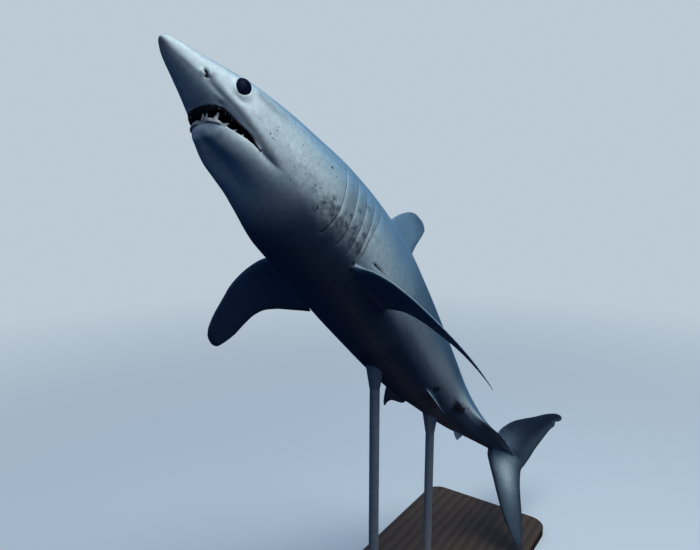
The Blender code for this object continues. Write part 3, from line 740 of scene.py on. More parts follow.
# %% [markdown]
# ## The fins
#
# A shark's fin is a stiff foil: round in front, thickest a third of the way back, thin behind, with a
# short free tip behind its root. Each is a grid rolled the same way as the body, one direction out
# along the fin and the other round its section. Its outline comes from a few ribs: how far out, where
# the front edge is and where the rear edge is. The root is a little thicker than the plain foil, as
# the flesh spreads onto the body there, and it ends inside the body.

# %% The fins' ribs
# each rib: distance out, then front and rear edge, all as shares of the fish's length
DORSAL_1 = ((0.050, 0.332, 0.434), (0.072, 0.341, 0.441), (0.080, 0.347, 0.474), (0.086, 0.352, 0.472),
            (0.098, 0.361, 0.455), (0.114, 0.373, 0.451), (0.128, 0.383, 0.454), (0.143, 0.396, 0.459),
            (0.157, 0.411, 0.464), (0.167, 0.427, 0.466), (0.173, 0.444, 0.463))
DORSAL_2 = ((0.016, 0.713, 0.733), (0.029, 0.717, 0.736), (0.033, 0.720, 0.755), (0.037, 0.726, 0.746),
            (0.041, 0.734, 0.743))
ANAL = ((0.018, 0.716, 0.748), (0.032, 0.721, 0.751), (0.036, 0.725, 0.749), (0.040, 0.730, 0.745),
        (0.0445, 0.736, 0.7435))
PELVIC = ((-0.013, -0.024, 0.036), (0.000, -0.0235, 0.038), (0.0035, -0.021, 0.034),
          (0.008, -0.0160, 0.022), (0.0125, -0.0090, 0.0135), (0.017, -0.002, 0.0125),
          (0.021, 0.005, 0.0145), (0.0245, 0.0125, 0.0175))
PECTORAL_LEFT = ((-0.022, -0.037, 0.018), (-0.004, -0.038, 0.020), (0.003, -0.0387, 0.048),
                 (0.011, -0.0405, 0.043), (0.024, -0.0430, 0.034), (0.041, -0.042, 0.024),
                 (0.056, -0.036, 0.0205), (0.070, -0.028, 0.023), (0.084, -0.018, 0.029),
                 (0.098, -0.008, 0.035), (0.112, 0.002, 0.041), (0.125, 0.013, 0.047),
                 (0.136, 0.025, 0.0515), (0.144, 0.038, 0.0550), (0.152, 0.055, 0.0620))
PECTORAL_RIGHT = ((-0.022, -0.051, 0.018), (-0.004, -0.0525, 0.020), (0.003, -0.0525, 0.048),
                  (0.011, -0.0520, 0.044), (0.024, -0.0490, 0.037), (0.041, -0.043, 0.028),
                  (0.056, -0.036, 0.0245), (0.070, -0.028, 0.027), (0.084, -0.018, 0.033),
                  (0.098, -0.008, 0.040), (0.112, 0.002, 0.0475), (0.125, 0.0125, 0.0525),
                  (0.135, 0.0215, 0.0555), (0.143, 0.031, 0.0570), (0.1500, 0.042, 0.0580))
TAIL = ((-0.136, 0.953, 0.965), (-0.128, 0.939, 0.967), (-0.116, 0.921, 0.964), (-0.098, 0.897, 0.957),
        (-0.076, 0.875, 0.948), (-0.055, 0.856, 0.938), (-0.038, 0.840, 0.931), (-0.024, 0.830, 0.927),
        (-0.013, 0.829, 0.9255), (0.0, 0.834, 0.9325), (0.014, 0.842, 0.940), (0.028, 0.849, 0.947),
        (0.044, 0.862, 0.955), (0.061, 0.880, 0.965), (0.080, 0.907, 0.976), (0.099, 0.936, 0.988),
        (0.114, 0.957, 0.999), (0.120, 0.966, 0.999), (0.125, 0.974, 1.007), (0.134, 0.990, 1.017),
        (0.141, 1.005, 1.0195))
FOIL_FACE = 26                    # points along each face of a fin's section
TIP_THINNING = 0.88
THIN_EDGE = 0.0006                # metres: half the least thickness behind


# %% The fin grid
def foil(share):
    """Half thickness of a fin's section: 0 at the front edge, 1 at its thickest, 0 behind."""
    return 2.6 * np.sqrt(share) * (1 - share) ** 1.15


def fin_spans(ribs, both_ways, count):
    """How far out each row of a fin is, and how much the rows shrink round its tip."""
    tip = ribs[-1, 0]
    cap = 0.35 * (ribs[-1, 2] - ribs[-1, 1])
    ends = tip - cap + cap * np.sin(np.linspace(0, math.pi / 2, 7))
    if both_ways:
        spans = np.linspace(-(tip - cap), tip - cap, count)
        spans = np.concatenate([-ends[:0:-1], spans, ends[1:]])
    else:
        spans = np.concatenate([np.linspace(ribs[0, 0], tip - cap, count), ends[1:]])
    past_cap = np.clip(np.abs(spans) - (tip - cap), 0, cap) / cap
    return spans, np.sqrt(np.clip(1 - past_cap ** 2, 0, 1))


def fin_points(ribs, origin, aft, out, thickness, bend, count, root, wash=0.0):
    """Points [row, column] of a fin, with the row's span and the column's share of the chord."""
    ribs = np.array(ribs)
    both_ways = ribs[0, 0] < -0.1
    front, rear = curve_through(ribs, 1), curve_through(ribs, 2)
    spans, shrink = fin_spans(ribs, both_ways, count)
    middle, half_chord = (front(spans) + rear(spans)) / 2, (rear(spans) - front(spans)) / 2 * shrink
    share = (1 - np.cos(np.linspace(0, math.pi, FOIL_FACE + 1))) / 2
    share = np.concatenate([share, share[-2::-1]])
    face = np.where(np.arange(len(share)) <= FOIL_FACE, 1.0, -1.0)
    along = (np.abs(spans) if both_ways else np.clip(spans, 0, None)) / ribs[-1, 0]
    half = thickness * (1 - TIP_THINNING * along) / 2 * shrink
    flare = 1 + 0.8 * np.exp(-np.clip(np.abs(spans) - root, 0, 1) * LENGTH / 0.012)
    thin_edge = THIN_EDGE * shrink[:, None] * ((share > 0.5) & (share < 1))[None, :]
    fat = np.maximum((half * flare)[:, None] * foil(share)[None, :], thin_edge)
    across = np.cross(out, aft)
    lead, behind = (middle - half_chord)[:, None], 2 * half_chord[:, None] * share[None, :] * LENGTH
    turn = (wash * smooth(along, 0.35, 0.80))[:, None]
    thick = fat * face[None, :]
    backward = behind * np.cos(turn) - thick * np.sin(turn)
    sideways = behind * np.sin(turn) + thick * np.cos(turn) + (bend * LENGTH * along ** 2)[:, None]
    points = (origin + out * (spans * LENGTH)[:, None, None] + aft * (lead * LENGTH + backward)[..., None]
              + across * sideways[..., None])
    return points, spans, share, face


def upright_fin(name, ribs, plane, down, thickness, count, root):
    """A fin in the spine's own upright plane at one share of the length."""
    at, forward, _, up = spine_at(np.array(plane))
    out = -up if down else up
    return name, fin_points(ribs, at + forward * plane * LENGTH, -forward, out, thickness, 0.0, count, root)


def paired_fin(name, ribs, place, side, pose, thickness, count):
    """A fin of a pair; pose is its droop, twist, sweep and tip's twist in degrees, and the tip's curl."""
    s, degrees = place
    droop, twist, sweep, wash = (math.radians(angle) for angle in pose[:4])
    origin = in_room(np.array(s), *section(np.array(s), np.array(side * degrees)))
    _, forward, left, up = spine_at(np.array(s))
    level = side * left * math.cos(droop) - up * math.sin(droop)
    level_aft = -forward * math.cos(twist) - side * np.cross(forward, level) * math.sin(twist)
    out = level * math.cos(sweep) + level_aft * math.sin(sweep)
    aft = level_aft * math.cos(sweep) - level * math.sin(sweep)
    return name, fin_points(ribs, origin, aft, out, thickness, -side * pose[4], count, 0.0, side * wash)


PECTORAL_PLACE, PELVIC_PLACE = (0.297, 131.0), (0.564, 142.5)
LEFT_PECTORAL_POSE, RIGHT_PECTORAL_POSE = (18.0, 0.0, 9.5, 5.0, 0.0275), (16.0, 4.5, 0.5, 0.0, 0.012)
PELVIC_POSE = (44.0, 0.0, 0.0, 0.0, 0.0)
fins = [
    upright_fin("first_dorsal", DORSAL_1, 0.40, False, 0.017, 44, 0.069),
    upright_fin("second_dorsal", DORSAL_2, 0.735, False, 0.007, 20, 0.027),
    upright_fin("anal", ANAL, 0.750, True, 0.007, 20, 0.032),
    upright_fin("tail_fin", TAIL, 0.88, False, 0.017, 110, 0.012),
    paired_fin("pectoral_left", PECTORAL_LEFT, PECTORAL_PLACE, 1, LEFT_PECTORAL_POSE, 0.015, 62),
    paired_fin("pectoral_right", PECTORAL_RIGHT, PECTORAL_PLACE, -1, RIGHT_PECTORAL_POSE, 0.016, 62),
    paired_fin("pelvic_left", PELVIC, PELVIC_PLACE, 1, PELVIC_POSE, 0.009, 24),
    paired_fin("pelvic_right", PELVIC, PELVIC_PLACE, -1, PELVIC_POSE, 0.009, 24)]
fin_pieces = [rolled_grid(name, made[0]) for name, made in fins]
print("fins:", {piece.name: len(piece.data.vertices) for piece in fin_pieces})

# %% [markdown]
# ## One skin
#
# The fins are joined to the body with Boolean unions, so that nothing is left inside. A union leaves a
# hard line where two surfaces meet, and a living skin has none. So the points near each join are
# relaxed: each moves a little towards the middle of its neighbours, again and again, most at the line
# itself and not at all a finger's width away.


# %% Join the fins
def mesh_points(piece):
    """All points of a piece, one row each."""
    flat = np.zeros(len(piece.data.vertices) * 3, np.float32)
    piece.data.vertices.foreach_get("co", flat)
    return flat.reshape(-1, 3).astype(float)


def tree_of(points):
    """A search tree for the nearest of the points."""
    made = kdtree.KDTree(len(points))
    for i, p in enumerate(points):
        made.insert(p, i)
    made.balance()
    return made


def choose(piece):
    """Selects this piece alone, for the tools that work on what is selected."""
    bpy.ops.object.select_all(action="DESELECT")
    bpy.context.view_layer.objects.active = piece
    piece.select_set(True)


NEW_POINT = 0.00002               # metres: a point this far from all old ones was made by the cut
SMALL_FINS = ("second_dorsal", "anal", "pelvic_left", "pelvic_right")
SMALL_FIN_REACH, FIN_REACH, FIN_ROUNDS = 0.004, 0.011, 14


def combine(piece, other, operation, solver, keep=False):
    """Joins or cuts with the other piece, removed unless kept; returns the points on the new line."""
    before = tree_of(np.concatenate([mesh_points(piece), mesh_points(other)]))
    change = piece.modifiers.new(operation.title(), "BOOLEAN")
    change.operation, change.solver, change.object = operation, solver, other
    change.material_mode = "TRANSFER"
    choose(piece)
    bpy.ops.object.modifier_apply(modifier=change.name)
    if not keep:
        bpy.data.objects.remove(other)
    return [p for p in mesh_points(piece) if before.find(p)[2] > NEW_POINT]


def edge_ends(piece):
    """The two points of every edge, and how many edges meet at each point."""
    ends = np.zeros(len(piece.data.edges) * 2, np.int32)
    piece.data.edges.foreach_get("vertices", ends)
    first, second = ends.reshape(-1, 2).T
    meeting = np.bincount(ends, minlength=len(piece.data.vertices))
    return first, second, np.maximum(meeting, 1)[:, None]


def mean_around(values, first, second, meeting):
    """The mean of the values at each point's neighbours."""
    total = np.zeros_like(values)
    np.add.at(total, first, values[second])
    np.add.at(total, second, values[first])
    return total / meeting


def relax(piece, line, reach, rounds, strength=0.6):
    """Smooths the piece near the points of a line, and less further away, up to the reach."""
    if not len(line):
        return
    points = mesh_points(piece)
    near = tree_of(line)
    distance = np.array([near.find(p)[2] for p in points])
    weight = strength * (1 - smooth(distance, reach * 0.35, reach))
    ends = edge_ends(piece)
    for _ in range(rounds):
        points += (mean_around(points, *ends) - points) * weight[:, None]
    piece.data.vertices.foreach_set("co", points.astype(np.float32).ravel())


skin_finish, skin_tree, skin_shader = node_material("shark_skin")
for piece in (skin, *fin_pieces):
    piece.data.materials.append(skin_finish)

for piece in fin_pieces:
    reach = SMALL_FIN_REACH if piece.name in SMALL_FINS else FIN_REACH
    name = piece.name                # the piece itself is gone after the union
    line = combine(skin, piece, "UNION", "MANIFOLD")
    relax(skin, line, reach, FIN_ROUNDS)
    print(name, "joined along", len(line), "points")
print("skin:", len(skin.data.vertices), "points")

# %% [markdown]
# ## The mouth
#
# The shark's mouth hangs a little open. The gap between the lips is a curve on each jaw, and behind
# the lips the mouth is hollow: the palate arches up and the floor sinks. That hollow is one closed
# form, made of sections along the fish, which is cut out of the skin. The cut leaves the walls of the
# mouth behind, and they keep a finish of their own. The lips are then rounded a little.

# %% The hollow of the mouth
LIP = 0.0024                      # thickness of the lips
MOUTH_CORNER, MOUTH_END = 0.1132, 0.140


def jaw_depth(s, y):
    """How far below the spine the underside of the jaw is, y to the side (all shares)."""
    power = power_below(s)
    share = np.clip(np.abs(y) / half_width(s), 0, 1)
    return (belly(s) + chin_drop(s, 180)) * (1 - share ** (2 / power)) ** (power / 2)


def lip_width(s, depth, degrees):
    """Half the width of the head at a depth below the spine (shares)."""
    power = power_below(s)
    share = np.clip(depth / (belly(s) + chin_drop(s, degrees)), 0, 0.9995)
    return half_width(s) * (1 - share ** (2 / power)) ** (power / 2)


def mouth_grid():
    """Sections of the hollow, from ahead of the lips to the throat."""
    s = np.concatenate([np.linspace(0.0440, MOUTH_CORNER - 0.001, 62),
                        np.linspace(MOUTH_CORNER - 0.0005, MOUTH_CORNER + 0.001, 4),
                        np.linspace(MOUTH_CORNER + 0.002, MOUTH_END, 16)])
    across = np.sin(np.linspace(-math.pi / 2, math.pi / 2, 57))
    top_lip, low_lip = upper_lip(s), lower_lip(s)
    open_side = 1 - smooth(s, MOUTH_CORNER - 0.0008, MOUTH_CORNER + 0.0006)
    lip = LIP * (1 + 0.9 * smooth(s, 0.096, 0.109))
    inner_top = np.maximum(lip_width(s, top_lip, 125) - lip, 0.001)
    inner_low = np.maximum(lip_width(s, low_lip, 150) - lip, 0.001)
    inside = np.minimum(inner_top, inner_low) * 0.97
    end = np.sqrt(np.clip(1 - (np.clip(s - MOUTH_CORNER, 0, 1) / (MOUTH_END - MOUTH_CORNER)) ** 2, 0, 1))
    end = np.maximum(end, 0.02)
    wide = (inside + (half_width(s) + 0.010 - inside) * open_side) * end
    y = wide[:, None] * across[None, :]
    deep = end * smooth(s, 0.0655, 0.077)

    def dome(inner):
        reach = np.minimum(inner, wide)[:, None]
        return np.sqrt(np.clip(1 - (np.abs(y) / reach) ** 2.6, 0, 1))
    top = top_lip[:, None] - (0.0105 * deep)[:, None] * dome(inner_top)
    room = np.clip(jaw_depth(s[:, None], y) - low_lip[:, None], 0, 0.020)
    low = low_lip[:, None] + 0.52 * deep[:, None] * room * dome(inner_low)
    middle = (top_lip + low_lip)[:, None] / 2
    top, low = np.minimum(top, middle - 0.0003), np.maximum(low, middle + 0.0003)
    ring_y = np.concatenate([y, y[:, -2::-1]], axis=1)
    ring_z = np.concatenate([-top, -low[:, -2::-1]], axis=1)
    ring_s = np.broadcast_to(s[:, None], ring_y.shape)
    return in_room(ring_s, ring_y * LENGTH, ring_z * LENGTH)


hollow = rolled_grid("mouth_hollow", mouth_grid())
lining_finish, lining_tree, lining_shader = node_material("mouth_lining")
hollow.data.materials.append(lining_finish)
change_line = combine(skin, hollow, "DIFFERENCE", "EXACT")
relax(skin, change_line, 0.0030, 4, 0.5)
print("mouth cut along", len(change_line), "points; skin now", len(skin.data.vertices))

# %% [markdown]
# ## The teeth
#
# A mako's lower teeth show even when its mouth is shut. They are slender, smooth-edged spikes that lean
# in at the root and out again at the tip. One is made from a circle, pushed out a little at a time,
# narrowed and leaned, and closed to a point. Copies are then set round each jaw, longest in front, and
# sunk into the gum. Each row is one piece.

# %% One tooth
# each step: how far up it goes, how far the ring leans outwards, and how wide it still is
TOOTH_STEPS = ((0.10, -0.02, 0.97), (0.14, -0.05, 0.86), (0.16, -0.06, 0.74), (0.16, -0.03, 0.60),
               (0.16, 0.01, 0.45), (0.14, 0.04, 0.28), (0.10, 0.05, 0.12))


def make_tooth():
    """A tooth 1 high and 1 wide at the root, standing on its root's middle; outwards is +y."""
    bpy.ops.object.select_all(action="DESELECT")
    bpy.ops.mesh.primitive_circle_add(vertices=12, radius=0.5, fill_type="NGON")
    made = bpy.context.object
    bpy.ops.object.mode_set(mode="EDIT")
    bpy.ops.mesh.select_all(action="SELECT")
    lean, height, wide = 0.0, 0.0, 1.0
    for up, out, width in TOOTH_STEPS:
        bpy.ops.mesh.extrude_region_move(TRANSFORM_OT_translate={"value": (0, out, up)})
        lean, height = lean + out, height + up
        share = width / wide
        bpy.ops.transform.resize(value=(share, share, 1), center_override=(0, lean, height))
        wide = width
    bpy.ops.mesh.merge(type="CENTER")
    bpy.ops.mesh.select_all(action="SELECT")
    bpy.ops.mesh.normals_make_consistent(inside=False)
    bpy.ops.object.mode_set(mode="OBJECT")
    bpy.ops.object.shade_smooth()
    top = max(v.co.z for v in made.data.vertices)
    layer = made.data.attributes.new("up_tooth", "FLOAT", "POINT")
    layer.data.foreach_set("value", [v.co.z / top for v in made.data.vertices])
    return made


# %% The rows of teeth
# each tooth: mm along the gum from the middle, length above the gum, lean forwards, lean outwards
LOWER_LEFT = ((0.5, 15.5, 0.40, 0.10), (8.5, 17.0, 0.10, 0.20), (19.0, 4.5, 0.05, 0.25),
              (30.5, 19.0, -0.14, 0.36), (40.5, 3.6, -0.3, 0.15), (50.0, 15.0, -0.50, 0.14),
              (60.0, 3.2, -0.4, 0.15), (69.5, 12.0, -0.45, 0.12), (78.0, 2.8, -0.4, 0.12),
              (86.5, 10.0, -0.30, 0.10), (98.0, 3.0, -0.3, 0.1), (107.0, 2.5, -0.3, 0.1))
LOWER_RIGHT = ((11.0, 5.0, 0.30, 0.05), (19.0, 8.5, 0.15, 0.15), (29.0, 7.5, 0.05, 0.20),
               (40.0, 8.0, -0.1, 0.2), (52.0, 7.5, -0.3, 0.15), (65.0, 7.0, -0.4, 0.12),
               (80.0, 6.0, -0.35, 0.1), (96.0, 4.0, -0.3, 0.1))
UPPER_TEETH = ((7.0, 2.0, -0.6, -0.2), (20.0, 2.2, -0.6, -0.2), (33.0, 1.8, -0.6, -0.2),
               (47.0, 2.2, -0.6, -0.3), (61.0, 1.8, -0.6, -0.3), (76.0, 2.0, -0.6, -0.3))
GUM_IN = 0.0020                   # from the lip's edge to the middle of the teeth, as a share
TOOTH_SUNK = 1.6                  # mm of root inside the gum


def gum_line(lip, degrees, side):
    """Points along the gum from the middle of the jaw to its corner, and their distance in mm."""
    s = np.linspace(0.050, MOUTH_CORNER - 0.002, 900)
    wide = lip_width(s, lip(s), degrees) - GUM_IN
    deep = lip(s) / (belly(s) + chin_drop(s, degrees))
    first = int(np.flatnonzero((deep > 0.985) | (wide < 0.0002))[-1]) + 1
    s, wide = s[first:], wide[first:]
    points = in_room(s, side * wide * LENGTH, -lip(s) * LENGTH)
    middle = in_room(s[0], 0.0, -lip(s[0]) * LENGTH)
    points = np.concatenate([middle[None, :], points])
    steps = np.linalg.norm(np.diff(points, axis=0), axis=1)
    return points, np.concatenate([[0], np.cumsum(steps)]) / MM, np.concatenate([[s[0]], s])


def jaw_frame(points, along, shares, place):
    """Place on the gum, then forward, up and outward there."""
    at = np.array([np.interp(place, along, points[:, axis]) for axis in range(3)])
    ahead = np.array([np.interp(place + 1.5, along, points[:, axis]) for axis in range(3)])
    _, forward, _, up = spine_at(np.interp(place, along, shares))
    outward = np.cross(unit(ahead - at), up)
    outward *= np.sign((at - in_room(0.13, 0.0, 0.0)) @ outward)
    return at, forward, up, unit(outward)


def tooth_row(name, pattern, tables, lip, degrees, direction):
    """All teeth of a jaw, left and right, as one piece; direction is 1 up, -1 down."""
    rows = []
    chance = np.random.default_rng(7)
    for side, table in zip((1, -1), tables):
        gum = gum_line(lip, degrees, side)
        for place, length, forwards, outwards in table:
            place, length = place + chance.normal(0, 0.4), length * (1 + chance.normal(0, 0.04))
            at, forward, up, outward = jaw_frame(*gum, place)
            rise = unit(direction * up + forwards * forward + outwards * outward)
            wide = unit(np.cross(outward, rise))
            thick = np.cross(rise, wide)
            root = 2.2 + 0.44 * length
            frame_of_tooth = Matrix([wide * root * MM, thick * root * 0.8 * MM,
                                     rise * (length + TOOTH_SUNK) * MM]).transposed().to_4x4()
            if frame_of_tooth.determinant() < 0:
                frame_of_tooth = frame_of_tooth @ Matrix.Scale(-1, 4, (1, 0, 0))
            tooth = pattern.copy()
            tooth.data = pattern.data.copy()
            scene.collection.objects.link(tooth)
            tooth.data.transform(Matrix.Translation(Vector(at - rise * TOOTH_SUNK * MM)) @ frame_of_tooth)
            rows.append(tooth)
    bpy.ops.object.select_all(action="DESELECT")
    for tooth in rows:
        tooth.select_set(True)
    bpy.context.view_layer.objects.active = rows[0]
    bpy.ops.object.join()
    rows[0].name = name
    return rows[0]


tooth_pattern = make_tooth()
lower_teeth = tooth_row("lower_teeth", tooth_pattern, (LOWER_LEFT, LOWER_RIGHT), lower_lip, 150, 1)
upper_teeth = tooth_row("upper_teeth", tooth_pattern, (UPPER_TEETH, UPPER_TEETH), upper_lip, 125, -1)
bpy.data.objects.remove(tooth_pattern)
print("teeth:", len(lower_teeth.data.vertices), "and", len(upper_teeth.data.vertices), "points")

# %% [markdown]
# The teeth stand in a ridge of pale gum just behind the lower lip. It is thickest in front, where the
# next teeth wait behind the first, and it fades out towards the corners of the mouth.


# %% The lower gum
def gum_rings():
    """Rings round the gum's ridge, from its right end round the front to its left end."""
    turn = np.linspace(0, 2 * math.pi, 17)
    rings = []
    for side, stations in ((-1, np.arange(92.0, 1.0, -1.6)), (1, np.arange(0.0, 93.0, 1.6))):
        gum = gum_line(lower_lip, 150, side)
        for place in stations:
            at, _, up, outward = jaw_frame(*gum, place)
            front, middle = 1 - smooth(place, 22, 66), 1 - smooth(place, 4, 20)
            radius = max(0.5 + 3.2 * front + 0.35 * math.sin(0.95 * place), 0.5)
            ring = np.cos(turn)[:, None] * outward * 0.62 + np.sin(turn)[:, None] * up * 1.3
            out, down = 2.3 * front - 3.2 * middle, 2.4 * front
            rings.append(at + (ring * radius + outward * out - up * down) * MM)
    return np.array(rings)


gum_ridge = rolled_grid("lower_gum", gum_rings())
bpy.ops.object.shade_smooth()
print("gum:", len(gum_ridge.data.vertices), "points")

# %% [markdown]
# ## The eyes
#
# A mako's eye is large, round and black, with hardly any iris to see, and it has no third eyelid. It
# sits in a shallow socket behind a firm pale rim. A ball, flattened across the cheek, is enough.

# %% The eyeballs
eyes = []
for side_name, side in (("left", 1), ("right", -1)):
    bpy.ops.object.select_all(action="DESELECT")
    bpy.ops.mesh.primitive_uv_sphere_add(segments=64, ring_count=40, radius=1.0)
    eye = bpy.context.object
    eye.name = "eyeball_" + side_name
    layer = eye.data.attributes.new("from_pupil", "FLOAT", "POINT")
    layer.data.foreach_set("value", [math.hypot(v.co.x, v.co.y) if v.co.z > 0 else 1.0
                                     for v in eye.data.vertices])
    centre, first, second, normal = eye_frame(side)
    axes = Matrix([EYE_ALONG * first, EYE_AROUND * second, EYE_DEPTH * normal]).transposed().to_4x4()
    eye.data.transform(Matrix.Translation(Vector(centre - normal * EYE_SUNK)) @ axes)
    bpy.ops.object.shade_smooth()
    eyes.append(eye)
print("eyes:", [tuple(round(c, 3) for c in eye.data.vertices[0].co) for eye in eyes])

# %% [markdown]
# ## Where the markings go
#
# The markings follow the body: dark on the back, silver on the flank, white on the belly, dusky at the
# edges of the fins. Painted shade darkens the underside, the waist, the tail's stalk, the slits and the
# hollows of the head, and a painted highlight runs along the front of the paired fins. The mesh has been
# cut and relaxed, so each of its points now looks up the nearest point of the plain grids, which still know
# their place on the fish. From that place the masks are worked out and kept on the mesh as attributes,
# which the finish reads.

# %% The masks
# the angle at which the dark back turns pale, by share
BACK_LINE = curve_through(((0.0, 42), (0.05, 48), (0.10, 60), (0.16, 76), (0.20, 84), (0.26, 86),
                           (0.33, 93), (0.45, 94), (0.60, 90), (0.75, 88), (0.90, 88)))
# the angle of the lip valley, where the painted shade on the lip's side begins
lip_shade_line = curve_through(LIP_VALLEY)
MASKS = ("pale", "dusk", "slit", "along", "around", "mottle")


def gill_light(s, degrees):
    """1 on the smooth skin just behind each gill slit, fading backwards: the lit band that the painted
    shade between the slits leaves out.
    """
    lit = np.zeros_like(s)
    for k in range(len(GILLS)):
        behind = (s - gill_line(k, degrees)) * LENGTH / MM
        lit = np.maximum(lit, gill_reach(k, degrees) * smooth(behind, 0, 2) * (1 - smooth(behind, 5, 15)))
    return lit


def mouth_painted_shade(s, a):
    """Painted shade in the valley from the nostril to the mouth's corner, and on the lip below it."""
    valley = groove(s, a, LIP_VALLEY, VALLEY_WIDTH, 0.0, 0.05)[1]
    valley = valley * (1 + 0.24 * (1 - smooth(s, 0.052, 0.085)))
    lip_side = smooth(a, lip_shade_line(s) - 4, lip_shade_line(s) + 5) * (1 - smooth(a, 133, 143))
    lip_side = lip_side * smooth(s, 0.048, 0.066) * (1 - smooth(s, 0.112, 0.128))
    above_jaw = np.where(s < 0.112, 1 - smooth(a, jaw_line(s) - 5, jaw_line(s) - 1),
                         1 - smooth(a, 127, 133))
    return above_jaw * np.maximum(0.74 * valley, 0.92 * lip_side)


def flank_painted_shade(s, a):
    """Painted shade under the chest, along the waist, on the tail's stalk and between the gill slits."""
    under = 0.87 * smooth(s, 0.13, 0.19) * smooth(a, 114, 134)
    waist = 0.48 + 0.30 * smooth(a, 112, 126) + 0.17 * smooth(a, 126, 140)
    waist = waist * smooth(s, 0.32, 0.42) * (1 - smooth(s, 0.60, 0.69))
    stalk = 0.88 * smooth(s, 0.735, 0.765) * smooth(a, 84, 96)
    stalk_low = 0.93 * smooth(s, 0.58, 0.66) * smooth(a, 103, 114)
    gill_zone = smooth(s, 0.192, 0.206) * (1 - smooth(s, 0.250, 0.262)) * smooth(a, 70, 92)
    return np.maximum.reduce([under, waist, stalk, stalk_low, 0.42 * gill_zone * (1 - gill_light(s, a))])


def body_masks(s, degrees, dark):
    """pale: 0 back to 1 belly; dusk: painted shade; slit: painted shade in the slits, the nostril and the
    creases; mottle: where dark blotches are.
    """
    a = np.abs(degrees)
    fade = 28 - 17 * smooth(s, 0.35, 0.60)
    pale = smooth(a, BACK_LINE(s) - fade, BACK_LINE(s) + fade)
    gills = hump(s, 0.218, 0.045) * hump(a, 116, 19)
    cheek = 0.35 * hump(s, 0.150, 0.04) * hump(a, 104, 15)
    # painted shade under the snout's tip, in the hollow behind the eye and the fold under it, in the
    # mouth's valley and on the flank
    snout_tip_shade = 0.6 * (1 - smooth(s, 0.0, 0.016)) * smooth(a, 90, 140)
    temple = 0.42 * groove(s, a, TEMPLE, 11.0, 0.0, 0.3)[1]
    under_eye_shade = 0.34 * groove(s, a, EYE_FOLD, 5.0, 0.0, 0.25)[1]
    dusk = np.maximum.reduce([snout_tip_shade, temple, under_eye_shade, mouth_painted_shade(s, a), flank_painted_shade(s, a)])
    return np.stack([pale, dusk, dark, s, a / 180, np.maximum(gills, cheek)], -1)


def tail_masks(out, back_share, edge):
    """pale, dusk and mottle of the tail fin, whose lower lobe is dark round one pale patch."""
    low = out < 0
    patch = hump(back_share, 0.50, 0.33) * (hump(out, -0.23, 0.26) + 0.10 * hump(out, -0.58, 0.25))
    base = hump(out, 0.10, 0.24) * hump(back_share, 0.30, 0.30)
    rear = hump(back_share, 0.86, 0.14)
    pale = np.where(low, np.minimum(0.07 + 0.98 * patch, 1.0), 0.20 + 0.24 * base + 0.10 * rear)
    dusk = np.where(low, np.maximum(0.60 * edge, 0.97 * (1 - smooth(back_share, 0.03, 0.15))),
                    np.maximum(0.93 - 0.55 * base - 0.35 * rear, 0.0))
    return pale, dusk, np.where(low, 0.0, 0.8 * hump(back_share, 0.14, 0.12) * hump(out, 0.35, 0.25))


def pectoral_masks(under, back_share, edge):
    """pale, dusk and mottle of a pectoral fin: painted shade below and on the top face's front, dusky
    edges, and a painted highlight along the front edge.
    """
    # painted shade: the top face darker behind its front edge, and the underside darker all over
    lead = 1 - smooth(back_share, 0.06, 0.22)
    dusk = np.where(under, np.maximum(0.85 * edge, 0.45), np.maximum(0.35 * edge, 0.35 * lead))
    # painted highlight: a pale line along the front edge
    rim = 1 - smooth(back_share, 0.012, 0.05)
    pale = np.maximum(np.where(under, 0.22, 0.16), 0.6 * rim)
    return pale, dusk * (1 - rim), np.full_like(back_share, 0.25)


def fin_masks(name, spans, share, face):
    """The same masks on a fin, from how far out and how far back a point is."""
    out = np.clip(spans / np.abs(spans).max(), -1, 1)[:, None]
    back_share = np.broadcast_to(share[None, :], (len(spans), len(share)))
    out = np.broadcast_to(out, back_share.shape)
    edge = np.maximum(smooth(back_share, 0.80, 1.0), smooth(np.abs(out), 0.80, 1.0))
    front = 1 - smooth(back_share, 0.0, 0.05)
    pale = np.full(back_share.shape, 0.16)
    dusk = 0.7 * np.maximum(edge, 0.7 * front)
    mottle = np.zeros_like(back_share)
    if name == "tail_fin":
        pale, dusk, mottle = tail_masks(out, back_share, edge)
    if name == "first_dorsal":
        pale = 0.24 - 0.14 * edge
        dusk = 0.35 * edge
    if name.startswith("pectoral"):
        under = (face < 0) if name.endswith("left") else (face > 0)
        pale, dusk, mottle = pectoral_masks(under[None, :], back_share, edge)
    # painted highlight along the pelvic fin's front edge, and painted shade behind it
    if name.startswith("pelvic"):
        pale = np.where(back_share < 0.024, 1.0, 0.30)
        dusk = np.where(back_share < 0.024, 0.0, 0.80)
    if name == "anal":
        pale = np.full(back_share.shape, 0.75)
        dusk = 0.1 * edge
    which = 3.0 if name == "tail_fin" else 2.0
    layers = [pale, dusk, np.zeros_like(back_share), np.full_like(back_share, which), np.abs(out), mottle]
    return np.stack([np.broadcast_to(layer, back_share.shape) for layer in layers], -1)


sources = [grid_points.reshape(-1, 3)]
masks = [body_masks(grid_s, grid_angle, fold_shade).reshape(-1, len(MASKS))]
for name, (points, spans, share, face) in fins:
    sources.append(points.reshape(-1, 3))
    masks.append(fin_masks(name, spans, share, face).reshape(-1, len(MASKS)))
sources, masks = np.concatenate(sources), np.concatenate(masks)
known = tree_of(sources)
final = mesh_points(skin)
nearest = np.array([known.find(p)[1] for p in final])
values = masks[nearest]


def spread(piece, values, rounds):
    """Evens the values out along the edges, so that no mask has a jagged border."""
    ends = edge_ends(piece)
    for _ in range(rounds):
        values = 0.5 * values + 0.5 * mean_around(values, *ends)
    return values


soft = [0, 1, 5]
values[:, soft] = spread(skin, values[:, soft], 5)
for i, name in enumerate(MASKS):
    layer = skin.data.attributes.new(name, "FLOAT", "POINT")
    layer.data.foreach_set("value", values[:, i].astype(np.float32))
print("masks:", {name: (round(float(values[:, i].min()), 2), round(float(values[:, i].max()), 2))
                 for i, name in enumerate(MASKS)})
